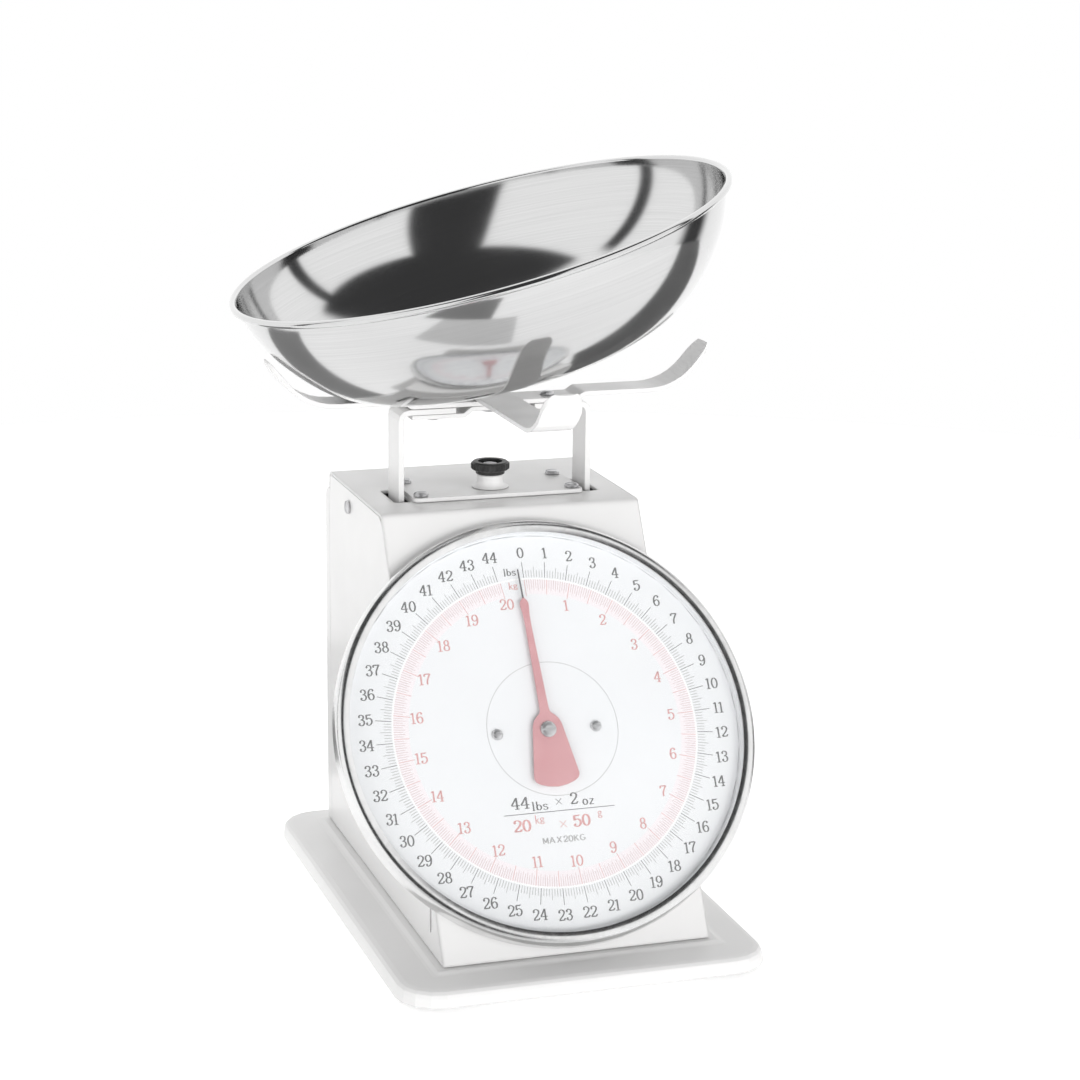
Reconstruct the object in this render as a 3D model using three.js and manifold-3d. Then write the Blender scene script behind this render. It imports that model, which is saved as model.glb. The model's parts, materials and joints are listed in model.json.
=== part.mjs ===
// Mechanical dial platform scale: a sloping-front sheet-metal casing on a wide base, with a large
// round dial, a yoke that comes up through the top, a four-armed spider and a loose metal bowl.
// Millimetres, +Z up, the dial faces -Y. z = 0 is the plane the rubber feet stand on.

import * as THREE from 'three';
import { mergeVertices } from 'three/addons/utils/BufferGeometryUtils.js';
import Module from 'manifold-3d';

const wasm = await Module();
wasm.setup();

// ---------- driving dimensions ----------
const GAP = 0.3; // gap left between pieces that touch

const SYMMETRY_X = 6.8; // the casing's middle plane, so that the tipped bowl keeps the box centred

const BASE_WIDTH = 182.8;
const BASE_DEPTH = 266.6;
const BASE_CORNER = 20;
const BASE_Y = -16.6;
const BASE_LIP_Z = 2;
const BASE_DECK_Z = 10.3;
const SEAT_Z = 11.4;
const BASE_SHEET = 1.2;

const FOOT_RADIUS = 9;
const FOOT_X = 70;
const FOOT_Y = 112;

const CASE_HALF_WIDTH = 66.4;
const CASE_BOTTOM_Z = 11.7;
const CASE_TOP_Z = 204;
const CASE_BACK_Y = 90.2;
const COVER_SHEET = 1.5;
const PANEL_SHEET = 1.2;
const BEND = 3;

const FACE_TILT = THREE.MathUtils.degToRad(30); // how far the face leans back from upright
const DIAL_Y = -72;
const DIAL_Z = 105;

const POINTER_REST = 2.3; // degrees short of the zero mark, because the bowl is partly lifted

const BEZEL_RADIUS = 105;
const GLASS_RADIUS = 98.5;

const COLUMN_Y = 22; // middle plane of the yoke, springs and spider
const COLUMN_X = 48.8;
const COLUMN_WIDTH = 20;
const YOKE_SHEET = 2.8;
const YOKE_TAB_Z = 248.1;
const YOKE_BOTTOM_Z = 92;

const FRAME_HALF_WIDTH = 58;
const FRAME_SHEET = 2;
const FRAME_WEB_Z = 201.2;

const LINK_LENGTH = 50;
const LINK_REAR_Y = 72;
const UPPER_LINK_Z = 153.9;
const LOWER_LINK_Z = 103.9;
const LINK_REST = THREE.MathUtils.degToRad(12.8); // how far the links point up with an empty pan
const LINK_PIN = 2;
const RUNNING = 0.1;

const BAR_WIDTH = 20;
const BAR_SHEET = 2.2;
const BAR_TOP_Z = 254.5;
const BAR_JOGGLE = 2.5;
const CROSS_REACH = 114.5;
const LONG_REACH = 120;
const ARM_BEND = 32;
const ARM_RISE = THREE.MathUtils.degToRad(50);

const PAN_RIM = 128;
const PAN_DEPTH = 62;
const PAN_FLAT = 72;
const PAN_WALL = 125;
const PAN_SHEET = 0.8;
const PAN_BEAD = 1.75;
const PAN_SQUARENESS = 1.65; // 2 is an ellipse, lower is more conical
const PAN_TILT = THREE.MathUtils.degToRad(15.4);
const PAN_X = -6.8;
const PAN_Z = 334.3;

const GEAR_MODULE = 0.6;
const PINION_TEETH = 14;
const PITCH_RADIUS = (GEAR_MODULE * PINION_TEETH) / 2;
const GEAR_DEPTH = 30; // middle of the gears, behind the front of the face
const SHAFT_RADIUS = 1.5;

const KNOB_Y = 21;
const KNOB_RADIUS = 9.75;
const KNOB_RIDGES = 26;
const KNOB_BOTTOM_Z = 213.4;
const KNOB_TOP_Z = 219.6;

const SPRING_X = 24;
const SPRING_RADIUS = 6.6;
const SPRING_WIRE = 1.1;
const SPRING_TURNS = 8;
const HANGER_Z = 181;

// ---------- paint and metal ----------
const material = (color, roughness, metalness) =>
  new THREE.MeshStandardMaterial({ color, roughness, metalness });

const paint = () => material(0xe6e5e1, 0.45, 0.1);
const zinc = () => material(0xb9bcc0, 0.35, 0.9);
const chrome = () => material(0xd8dadd, 0.12, 1);
const stainless = () => material(0xc9cbce, 0.18, 1);
const brass = () => material(0xb08d4c, 0.35, 0.9);
const springSteel = () => material(0x8d9095, 0.4, 0.9);
const rubber = () => material(0x2a2a2a, 0.9, 0);
const blackPlastic = () => material(0x1b1b1c, 0.5, 0);
const dialWhite = () => material(0xf0f1f2, 0.5, 0);
const pointerRed = () => material(0xb4423f, 0.5, 0);
const clearPane = () => {
  const glass = material(0xf4f8fa, 0.05, 0);
  glass.transparent = true;
  glass.opacity = 0.25;
  return glass;
};

// ---------- solids ----------
function solid(geometry) {
  const bare = geometry.clone();
  bare.deleteAttribute('normal');
  bare.deleteAttribute('uv');
  const merged = mergeVertices(bare, 1e-4);
  return new wasm.Manifold(
    new wasm.Mesh({
      numProp: 3,
      vertProperties: new Float32Array(merged.attributes.position.array),
      triVerts: new Uint32Array(merged.index.array),
    })
  );
}

function geometryOf(body) {
  const mesh = body.getMesh();
  const geometry = new THREE.BufferGeometry();
  geometry.setAttribute('position', new THREE.BufferAttribute(mesh.vertProperties, 3));
  geometry.setIndex(new THREE.BufferAttribute(mesh.triVerts, 1));
  const crisp = geometry.toNonIndexed();
  crisp.computeVertexNormals();
  return crisp;
}

function joined(bodies) {
  return bodies.reduce((all, next) => all.add(next));
}

function cut(body, tools) {
  return tools.reduce((left, tool) => left.subtract(tool), body);
}

function piece(name, body, look) {
  const geometry = body.isBufferGeometry ? body : geometryOf(body);
  const mesh = new THREE.Mesh(geometry, look);
  mesh.name = name;
  return mesh;
}

function box(x0, x1, y0, y1, z0, z1) {
  const geometry = new THREE.BoxGeometry(x1 - x0, y1 - y0, z1 - z0);
  geometry.translate((x0 + x1) / 2, (y0 + y1) / 2, (z0 + z1) / 2);
  return solid(geometry);
}

// A cylinder along Z from z0 to z1.
function post(radius, x, y, z0, z1, sides = 20) {
  const geometry = new THREE.CylinderGeometry(radius, radius, z1 - z0, sides);
  geometry.rotateX(Math.PI / 2);
  geometry.translate(x, y, (z0 + z1) / 2);
  return solid(geometry);
}

// A cylinder along X from x0 to x1.
function crossPost(radius, x0, x1, y, z, sides = 16) {
  const geometry = new THREE.CylinderGeometry(radius, radius, x1 - x0, sides);
  geometry.rotateZ(Math.PI / 2);
  geometry.translate((x0 + x1) / 2, y, z);
  return solid(geometry);
}

// A cylinder along Y from y0 to y1.
function longPost(radius, x, z, y0, y1, sides = 20) {
  const geometry = new THREE.CylinderGeometry(radius, radius, y1 - y0, sides);
  geometry.translate(x, (y0 + y1) / 2, z);
  return solid(geometry);
}

// Turns a closed outline of [radius, z] points round the Z axis.
function turned(outline, sides = 32) {
  const points = outline.map(([radius, height]) => new THREE.Vector2(radius, height));
  if (outline[0][0] > 0) points.push(points[0].clone());
  const geometry = new THREE.LatheGeometry(points, sides);
  geometry.rotateX(Math.PI / 2);
  return solid(geometry);
}

function extruded(shape, depth) {
  return new THREE.ExtrudeGeometry(shape, { depth, bevelEnabled: false, curveSegments: 4 });
}

// An outline in (x, z) pushed along Y.
function alongY(shape, y0, y1) {
  const geometry = extruded(shape, y1 - y0);
  geometry.rotateX(Math.PI / 2);
  geometry.translate(0, y1, 0);
  return solid(geometry);
}

// An outline in (y, z) pushed along X.
function alongX(shape, x0, x1) {
  const geometry = extruded(shape, x1 - x0);
  const turn = new THREE.Matrix4().makeBasis(
    new THREE.Vector3(0, 1, 0),
    new THREE.Vector3(0, 0, 1),
    new THREE.Vector3(1, 0, 0)
  );
  geometry.applyMatrix4(turn);
  geometry.translate(x0, 0, 0);
  return solid(geometry);
}

// An outline in (x, y) pushed along Z.
function alongZ(shape, z0, z1) {
  const geometry = extruded(shape, z1 - z0);
  geometry.translate(0, 0, z0);
  return solid(geometry);
}

function polygon(points) {
  return new THREE.Shape(points.map(([a, b]) => new THREE.Vector2(a, b)));
}

function roundedRectangle(a0, a1, b0, b1, radius) {
  const shape = new THREE.Shape();
  shape.moveTo(a0 + radius, b0);
  shape.lineTo(a1 - radius, b0);
  shape.absarc(a1 - radius, b0 + radius, radius, -Math.PI / 2, 0, false);
  shape.lineTo(a1, b1 - radius);
  shape.absarc(a1 - radius, b1 - radius, radius, 0, Math.PI / 2, false);
  shape.lineTo(a0 + radius, b1);
  shape.absarc(a0 + radius, b1 - radius, radius, Math.PI / 2, Math.PI, false);
  shape.lineTo(a0, b0 + radius);
  shape.absarc(a0 + radius, b0 + radius, radius, Math.PI, Math.PI * 1.5, false);
  return shape;
}

// The corners of a path rounded by arcs, as a list of points.
function roundedPath(corners, radius, steps = 5) {
  const path = corners.map(([a, b]) => new THREE.Vector2(a, b));
  const rounded = [path[0]];
  for (let i = 1; i < path.length - 1; i += 1) {
    const before = path[i - 1].clone().sub(path[i]).normalize();
    const after = path[i + 1].clone().sub(path[i]).normalize();
    const half = Math.acos(THREE.MathUtils.clamp(before.dot(after), -1, 1)) / 2;
    const reach = radius / Math.tan(half);
    const middle = before.clone().add(after).normalize();
    const centre = path[i].clone().addScaledVector(middle, radius / Math.sin(half));
    const start = path[i].clone().addScaledVector(before, reach).sub(centre);
    const end = path[i].clone().addScaledVector(after, reach).sub(centre);
    const sweep = Math.atan2(start.cross(end), start.dot(end));
    for (let step = 0; step <= steps; step += 1) {
      const turned = start.clone().rotateAround(new THREE.Vector2(), (sweep * step) / steps);
      rounded.push(turned.add(centre));
    }
  }
  rounded.push(path[path.length - 1]);
  return rounded;
}

// The outline of a strip of sheet that follows a path through its middle.
function strip(corners, sheet, radius, steps = 5) {
  const path = roundedPath(corners, radius, steps);
  const left = [];
  const right = [];
  path.forEach((point, i) => {
    const before = path[Math.max(i - 1, 0)];
    const after = path[Math.min(i + 1, path.length - 1)];
    const inward = i > 0 ? point.clone().sub(before).normalize() : after.clone().sub(point).normalize();
    const outward = i < path.length - 1 ? after.clone().sub(point).normalize() : inward;
    const along = inward.clone().add(outward).normalize();
    const side = new THREE.Vector2(-along.y, along.x);
    const stretch = 1 / Math.sqrt((1 + inward.dot(outward)) / 2);
    left.push(point.clone().addScaledVector(side, (sheet / 2) * stretch));
    right.unshift(point.clone().addScaledVector(side, (-sheet / 2) * stretch));
  });
  return new THREE.Shape(left.concat(right));
}

// A pan-head screw along +Z: its head stands on z = 0 and its shank goes down.
function screw(headRadius, headHeight, shankRadius, shankLength) {
  const head = turned(
    [
      [0, 0],
      [headRadius, 0],
      [headRadius, headHeight * 0.45],
      [headRadius * 0.8, headHeight * 0.85],
      [headRadius * 0.45, headHeight],
      [0, headHeight],
    ],
    12
  );
  const shank = post(shankRadius, 0, 0, -shankLength, 0.1, 8);
  const slotHalf = headRadius * 0.13;
  const slot = box(-headRadius, headRadius, -slotHalf, slotHalf, headHeight * 0.5, headHeight + 1);
  return head.add(shank).subtract(slot);
}

// ---------- base and feet ----------
// The points of a rounded rectangle drawn in by an inset, always the same number of them.
function ring(inset, z) {
  const halfWidth = BASE_WIDTH / 2 - inset;
  const halfDepth = BASE_DEPTH / 2 - inset;
  const radius = Math.max(BASE_CORNER - inset, 1);
  const points = [];
  for (let corner = 0; corner < 4; corner += 1) {
    const sideX = corner === 0 || corner === 3 ? 1 : -1;
    const sideY = corner < 2 ? 1 : -1;
    for (let step = 0; step <= 4; step += 1) {
      const angle = ((corner + step / 4) * Math.PI) / 2;
      const x = sideX * (halfWidth - radius) + radius * Math.cos(angle);
      const y = sideY * (halfDepth - radius) + radius * Math.sin(angle);
      points.push([x, BASE_Y + y, z]);
    }
  }
  return points;
}

// A shell whose section, from the top middle out, down and back in underneath, follows the rings.
function basePlate() {
  const rings = [
    ring(40, SEAT_Z),
    ring(21.5, SEAT_Z),
    ring(19.5, SEAT_Z - 0.7),
    ring(18, BASE_DECK_Z + 0.1),
    ring(5, BASE_DECK_Z - 0.5),
    ring(2.6, BASE_DECK_Z - 1),
    ring(1.2, BASE_DECK_Z - 2.2),
    ring(0.6, BASE_DECK_Z - 4),
    ring(0, BASE_LIP_Z),
    ring(BASE_SHEET, BASE_LIP_Z),
    ring(0.6 + BASE_SHEET, BASE_DECK_Z - 4.4),
    ring(3.6, BASE_DECK_Z - 2.4),
    ring(6, BASE_DECK_Z - 1.7),
    ring(18.5, BASE_DECK_Z - 1.1),
    ring(22, SEAT_Z - BASE_SHEET),
    ring(40, SEAT_Z - BASE_SHEET),
  ];
  const count = rings[0].length;
  const positions = rings.flat(2);
  const topMiddle = rings.length * count;
  positions.push(0, BASE_Y, SEAT_Z, 0, BASE_Y, SEAT_Z - BASE_SHEET);
  const index = [];
  for (let i = 0; i < count; i += 1) {
    const next = (i + 1) % count;
    index.push(topMiddle, i, next);
    for (let level = 0; level < rings.length - 1; level += 1) {
      const upper = level * count;
      const lower = upper + count;
      index.push(upper + i, lower + i, lower + next);
      index.push(upper + i, lower + next, upper + next);
    }
    const last = (rings.length - 1) * count;
    index.push(topMiddle + 1, last + next, last + i);
  }
  const geometry = new THREE.BufferGeometry();
  geometry.setAttribute('position', new THREE.Float32BufferAttribute(positions, 3));
  geometry.setIndex(index);
  const holes = [-1, 1].map((side) => post(2.2, side * 50, 60, 0, 20, 10));
  return cut(solid(geometry), holes);
}

function foot(x, y) {
  const top = BASE_DECK_Z - 1.9 - GAP;
  const outline = [
    [0, 0],
    [FOOT_RADIUS - 1, 0],
    [FOOT_RADIUS, 1],
    [FOOT_RADIUS - 1.2, top],
    [0, top],
  ];
  return turned(outline, 20).translate([x, BASE_Y + y, 0]);
}

// ---------- casing ----------
const faceUp = [Math.sin(FACE_TILT), Math.cos(FACE_TILT)]; // (y, z) of the way up the face
const faceOut = [-Math.cos(FACE_TILT), Math.sin(FACE_TILT)]; // (y, z) of the way out of it

// A point (y, z) of the plane that lies a given depth behind the face, at height z.
function behindFace(depth, z) {
  const y = DIAL_Y + Math.tan(FACE_TILT) * (z - DIAL_Z) + depth / Math.cos(FACE_TILT);
  return [y, z];
}

// Turns a body built flat (x right, y up the dial, z out of it) onto the sloping face.
function onFace(body) {
  const tilt = 90 - THREE.MathUtils.radToDeg(FACE_TILT);
  return body.rotate([tilt, 0, 0]).translate([0, DIAL_Y, DIAL_Z]);
}

function columnSlot(side, z0, z1) {
  const slot = roundedRectangle(-4.4, 4.4, -14, 14, 2);
  return alongZ(slot, z0, z1).translate([side * 49, COLUMN_Y, 0]);
}

const topScrewPlaces = [
  [-39.5, 9.5],
  [39.5, 9.5],
  [-39.5, 41],
  [39.5, 41],
];

function frontCover() {
  const middle = COVER_SHEET / 2;
  const path = [
    behindFace(middle, CASE_BOTTOM_Z),
    behindFace(middle, CASE_TOP_Z - middle),
    [CASE_BACK_Y - middle, CASE_TOP_Z - middle],
    [CASE_BACK_Y - middle, CASE_TOP_Z - 9],
  ];
  const sheet = alongX(strip(path, COVER_SHEET, BEND, 4), -CASE_HALF_WIDTH, CASE_HALF_WIDTH);
  const below = CASE_TOP_Z - COVER_SHEET - 1;
  const above = CASE_TOP_Z + 1;
  const tools = [
    box(-70, 70, -140, 100, 0, CASE_BOTTOM_Z),
    columnSlot(-1, below, above),
    columnSlot(1, below, above),
    post(7, 0, KNOB_Y, below, above),
    onFace(post(4, 0, 0, -5, 5)),
    onFace(post(1.8, -25, 0, -5, 5, 10)),
    onFace(post(1.8, 25, 0, -5, 5, 10)),
  ];
  topScrewPlaces.forEach(([x, y]) => tools.push(post(2, x, y, below, above, 10)));
  return cut(sheet, tools);
}

function sidePanel(side) {
  const inset = COVER_SHEET + GAP;
  const top = CASE_TOP_Z - inset;
  const outline = polygon([
    behindFace(inset, CASE_BOTTOM_Z),
    behindFace(inset, top - BEND),
    [behindFace(inset, top)[0] + BEND, top],
    [CASE_BACK_Y - COVER_SHEET - GAP - 1.5, top],
    [CASE_BACK_Y - COVER_SHEET - GAP, top - 1.5],
    [CASE_BACK_Y - COVER_SHEET - GAP, CASE_TOP_Z - 9 - GAP],
    [CASE_BACK_Y, CASE_TOP_Z - 9 - GAP],
    [CASE_BACK_Y, CASE_BOTTOM_Z],
  ]);
  const inner = CASE_HALF_WIDTH - PANEL_SHEET;
  const skin = alongX(outline, inner, CASE_HALF_WIDTH);
  const flangeTop = CASE_TOP_Z - 12;
  const flange = box(52, inner + 0.1, CASE_BACK_Y - PANEL_SHEET, CASE_BACK_Y, CASE_BOTTOM_Z, flangeTop);
  const tools = [crossPost(2, 60, 70, 48.7, 193.6, 12)];
  [28, 182].forEach((z) => tools.push(longPost(2, 58, z, 80, 95, 12)));
  const slot = roundedRectangle(-1.3, 1.3, -6, 6, 1.2);
  tools.push(alongX(slot, 60, 70).translate([0, -103, 27]));
  const panel = cut(skin.add(flange), tools);
  return side > 0 ? panel : panel.mirror([1, 0, 0]);
}

function rearCover() {
  const depth = 7.8;
  const front = CASE_BACK_Y + GAP;
  const back = front + depth;
  const top = CASE_TOP_Z - 9.4;
  const outer = polygon([
    [front, CASE_BOTTOM_Z],
    [back, CASE_BOTTOM_Z],
    [back, top - 6],
    [back - 2, top - 2],
    [back - 6, top],
    [front, top],
  ]);
  const inner = polygon([
    [front - 1, CASE_BOTTOM_Z + PANEL_SHEET],
    [back - PANEL_SHEET, CASE_BOTTOM_Z + PANEL_SHEET],
    [back - PANEL_SHEET, top - 6.4],
    [back - PANEL_SHEET - 1.6, top - 3],
    [back - PANEL_SHEET - 5, top - PANEL_SHEET],
    [front - 1, top - PANEL_SHEET],
  ]);
  const shell = alongX(outer, -CASE_HALF_WIDTH, CASE_HALF_WIDTH);
  const hollow = alongX(inner, -CASE_HALF_WIDTH + PANEL_SHEET, CASE_HALF_WIDTH - PANEL_SHEET);
  const tools = [hollow];
  [-58, 58].forEach((x) => {
    [28, 182].forEach((z) => tools.push(longPost(2, x, z, 88, 105, 12)));
  });
  return cut(shell, tools);
}

function innerFrame() {
  const inside = FRAME_HALF_WIDTH;
  const low = CASE_BOTTOM_Z + FRAME_SHEET / 2;
  const path = [
    [-44, low],
    [-inside, low],
    [-inside, FRAME_WEB_Z],
    [inside, FRAME_WEB_Z],
    [inside, low],
    [44, low],
  ];
  const frame = alongY(strip(path, FRAME_SHEET, 3, 2), 0, 84);
  const tools = [
    box(-80, -44, -5, 36, 30, 220),
    box(44, 80, -5, 36, 30, 220),
    post(5, 0, KNOB_Y, FRAME_WEB_Z - 5, FRAME_WEB_Z + 5),
    crossPost(LINK_PIN + RUNNING, -65, 65, LINK_REAR_Y, UPPER_LINK_Z),
    crossPost(LINK_PIN + RUNNING, -65, 65, LINK_REAR_Y, LOWER_LINK_Z),
    crossPost(2, -65, 65, 48.7, 193.6, 12),
    box(-80, 80, 45, 64, 30, 90),
  ];
  topScrewPlaces.forEach(([x, y]) => tools.push(post(2, x, y, 195, 205, 10)));
  [-50, 50].forEach((x) => tools.push(post(2.2, x, 60, 5, 20, 10)));
  return cut(frame, tools);
}

function topPlate() {
  const outline = roundedRectangle(-44.2, 44.2, 4, 57, 3);
  const bottom = CASE_TOP_Z + GAP;
  const plate = alongZ(outline, bottom, bottom + 2);
  const tools = [post(3.4, 0, KNOB_Y, 200, 210)];
  topScrewPlaces.forEach(([x, y]) => tools.push(post(2, x, y, 200, 210, 10)));
  return cut(plate, tools);
}

// ---------- yoke, spider and pan ----------
function yoke() {
  const path = [
    [-20.5, YOKE_TAB_Z],
    [-COLUMN_X, YOKE_TAB_Z],
    [-COLUMN_X, YOKE_BOTTOM_Z],
    [COLUMN_X, YOKE_BOTTOM_Z],
    [COLUMN_X, YOKE_TAB_Z],
    [20.5, YOKE_TAB_Z],
  ];
  const half = COLUMN_WIDTH / 2;
  const bar = alongY(strip(path, YOKE_SHEET, 4, 3), COLUMN_Y - half, COLUMN_Y + half);
  const rise = LINK_LENGTH * Math.sin(LINK_REST);
  const near = LINK_REAR_Y - LINK_LENGTH;
  const far = LINK_REAR_Y - LINK_LENGTH * Math.cos(LINK_REST);
  const room = LINK_PIN + RUNNING;
  const tools = [];
  [UPPER_LINK_Z, LOWER_LINK_Z].forEach((z) => {
    const pin = z + rise;
    const slot = roundedRectangle(near - room - 0.3, far + room + 0.8, pin - room, pin + room, room - 0.05);
    tools.push(alongX(slot, -60, 60));
  });
  [-30, 30].forEach((x) => tools.push(post(2.3, x, COLUMN_Y, 240, 260, 10)));
  [-SPRING_X, SPRING_X].forEach((x) => tools.push(post(2, x, KNOB_Y, 80, 100, 10)));
  tools.push(post(2.1, 2, COLUMN_Y, 80, 100, 10));
  return cut(bar, tools);
}

function hubStrap() {
  const low = YOKE_TAB_Z - YOKE_SHEET / 2 - GAP - BAR_SHEET / 2;
  const high = BAR_TOP_Z - BAR_SHEET - BAR_JOGGLE - GAP - BAR_SHEET / 2;
  const path = [
    [-43, low],
    [-16, low],
    [-12, high],
    [12, high],
    [16, low],
    [43, low],
  ];
  const strap = alongY(strip(path, BAR_SHEET, 2, 3), COLUMN_Y - 9.5, COLUMN_Y + 9.5);
  const tools = [post(3.1, 0, COLUMN_Y, 240, 260, 16)];
  [-30, 30].forEach((x) => tools.push(post(2.3, x, COLUMN_Y, 240, 260, 10)));
  return cut(strap, tools);
}

// The half path of one upturned arm, from where it leaves the flat to its tip.
function armEnd(reach, flatZ) {
  const bendRun = ARM_BEND * Math.sin(ARM_RISE);
  const tipRun = 8.6;
  const start = reach - bendRun - tipRun;
  const corner = start + ARM_BEND * Math.tan(ARM_RISE / 2);
  const tipZ = flatZ + ARM_BEND * (1 - Math.cos(ARM_RISE)) + tipRun * Math.tan(ARM_RISE);
  return { corner, tip: reach, tipZ };
}

// Rounds an arm's tip: keeps what lies inside a wide rounded outline seen from above.
function roundedTips(bar, reach, isCross) {
  const half = BAR_WIDTH / 2;
  const outline = roundedRectangle(-reach, reach, -half, half, half - 2.5);
  const keep = alongZ(outline, 230, 300);
  return bar.intersect(isCross ? keep : keep.rotate([0, 0, 90]));
}

function bentBar(reach, joggle) {
  const flat = BAR_TOP_Z - BAR_SHEET / 2;
  const { corner, tip, tipZ } = armEnd(reach, flat);
  const half = BAR_WIDTH / 2;
  const right = [
    [corner, flat],
    [tip, tipZ],
  ];
  const middle = joggle
    ? [
        [-47, flat],
        [-43, flat - joggle],
        [43, flat - joggle],
        [47, flat],
      ]
    : [];
  const left = right.map(([x, z]) => [-x, z]).reverse();
  const corners = left.concat(middle, right);
  // The joggle takes a tight bend and the upturned ends a wide one, so each is rounded on its own.
  const bend = ([x]) => (Math.abs(x) > 60 ? ARM_BEND : 2.5);
  const rounded = [corners[0]];
  for (let i = 1; i < corners.length - 1; i += 1) {
    const trio = roundedPath([corners[i - 1], corners[i], corners[i + 1]], bend(corners[i]), bend(corners[i]) > 5 ? 6 : 2);
    trio.slice(1, -1).forEach((point) => rounded.push([point.x, point.y]));
  }
  rounded.push(corners[corners.length - 1]);
  const outline = strip(rounded, BAR_SHEET, 0.01, 1);
  return alongY(outline, -half, half);
}

function spiderBar(reach, isCross) {
  const bar = bentBar(reach, isCross ? BAR_JOGGLE : 0);
  const placed = isCross ? bar : bar.rotate([0, 0, 90]);
  const tools = [post(3.1, 0, 0, 240, 260, 16)];
  if (isCross) [-30, 30].forEach((x) => tools.push(post(2.3, x, 0, 240, 260, 10)));
  return cut(roundedTips(placed, reach, isCross), tools).translate([0, COLUMN_Y, 0]);
}

function hubRivet() {
  const outline = [
    [0, 245.4],
    [4.6, 245.4],
    [5, 246.2],
    [5, 246.9],
    [2.8, 246.9],
    [2.8, 254.2],
    [0, 254.2],
  ];
  return turned(outline, 16).translate([0, COLUMN_Y, 0]);
}

function tabRivet(x) {
  const outline = [
    [0, 242.4],
    [3, 242.4],
    [3.8, 243.2],
    [3.8, 243.8],
    [2, 243.8],
    [2, 252.3],
    [3.8, 252.3],
    [3.2, 253.4],
    [1.8, 253.9],
    [0, 253.9],
  ];
  return turned(outline, 14).translate([x, COLUMN_Y, 0]);
}

// The pan's wall: a radius for each depth below the rim, between the wall at the rim and the flat.
function panWall(steps, inset) {
  const points = [];
  for (let step = 0; step <= steps; step += 1) {
    const angle = (step / steps) * (Math.PI / 2);
    const power = 2 / PAN_SQUARENESS;
    const radius = PAN_FLAT + (PAN_WALL - PAN_FLAT) * Math.cos(angle) ** power;
    const depth = PAN_DEPTH * Math.sin(angle) ** power;
    points.push([radius - inset, -Math.min(depth, PAN_DEPTH - inset)]);
  }
  return points;
}

function pan() {
  const outer = panWall(8, 0);
  const inner = panWall(8, PAN_SHEET);
  outer[0][1] = -PAN_BEAD;
  inner[0][1] = -PAN_BEAD;
  const outline = [[0, -PAN_DEPTH], ...outer.slice().reverse(), ...inner];
  outline[outline.length - 1][1] = -(PAN_DEPTH - PAN_SHEET);
  outline.push([0, -(PAN_DEPTH - PAN_SHEET)]);
  const shell = turned(outline, 44);
  const bead = [];
  for (let step = 0; step < 6; step += 1) {
    const angle = (step / 6) * Math.PI * 2;
    const radius = PAN_RIM - PAN_BEAD + PAN_BEAD * Math.cos(angle);
    bead.push([radius, -PAN_BEAD + PAN_BEAD * Math.sin(angle)]);
  }
  return shell.add(turned(bead, 44));
}

// ---------- guide links ----------
function link() {
  const arm = roundedRectangle(-LINK_LENGTH - 4, 4, -4, 4, 3.9);
  const sides = [-53, 53].map((x) => alongX(arm, x - 1, x + 1));
  const tie = box(-53, 53, -14.5, -11.5, -3.5, 3.5);
  const pins = [-1, 1].flatMap((side) => {
    const front = crossPost(LINK_PIN, 46.6, 52.5, -LINK_LENGTH, 0);
    const rear = crossPost(LINK_PIN, 53.5, 59.8, 0, 0);
    return [front, rear].map((pin) => (side > 0 ? pin : pin.mirror([1, 0, 0])));
  });
  return joined([...sides, tie, ...pins]);
}

// ---------- springs, hanger and zero adjuster ----------
// One long coil with its ends turned over the hanger above and under the yoke below.
function spring() {
  const top = HANGER_Z + 3;
  const bottom = YOKE_BOTTOM_Z - YOKE_SHEET / 2;
  const coilTop = HANGER_Z - 7;
  const coilBottom = YOKE_BOTTOM_Z + 6;
  const over = SPRING_WIRE + GAP;
  const points = [
    new THREE.Vector3(0, 5, top + over),
    new THREE.Vector3(0, 1.6, top + over),
    new THREE.Vector3(0, 0, top - 0.6),
    new THREE.Vector3(0, 0, coilTop + 3),
  ];
  const steps = SPRING_TURNS * 9;
  for (let step = 0; step <= steps; step += 1) {
    const share = step / steps;
    const angle = share * SPRING_TURNS * Math.PI * 2;
    const z = coilTop + (coilBottom - coilTop) * share;
    points.push(new THREE.Vector3(SPRING_RADIUS * Math.sin(angle), SPRING_RADIUS * Math.cos(angle), z));
  }
  points.push(new THREE.Vector3(0, 0, coilBottom - 3));
  points.push(new THREE.Vector3(0, 0, bottom + 0.6));
  points.push(new THREE.Vector3(0, 1.6, bottom - over));
  points.push(new THREE.Vector3(0, 5, bottom - over));
  const path = new THREE.CatmullRomCurve3(points, false, 'centripetal');
  const wire = new THREE.Shape();
  wire.absarc(0, 0, SPRING_WIRE, 0, Math.PI * 2, false);
  const geometry = new THREE.ExtrudeGeometry(wire, {
    steps: 78,
    extrudePath: path,
    curveSegments: 3,
    bevelEnabled: false,
  });
  return solid(geometry);
}

function hanger() {
  const bar = roundedRectangle(-32, 32, -8, 8, 4);
  const body = alongZ(bar, HANGER_Z - 3, HANGER_Z + 3);
  const boss = post(7, 0, 0, HANGER_Z - 8, HANGER_Z - 2.9, 20);
  const tools = [post(2.9 + RUNNING, 0, 0, 150, 200, 20)];
  [-SPRING_X, SPRING_X].forEach((x) => tools.push(post(2, x, 0, 150, 200, 10)));
  return cut(body.add(boss), tools).translate([0, KNOB_Y, 0]);
}

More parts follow.
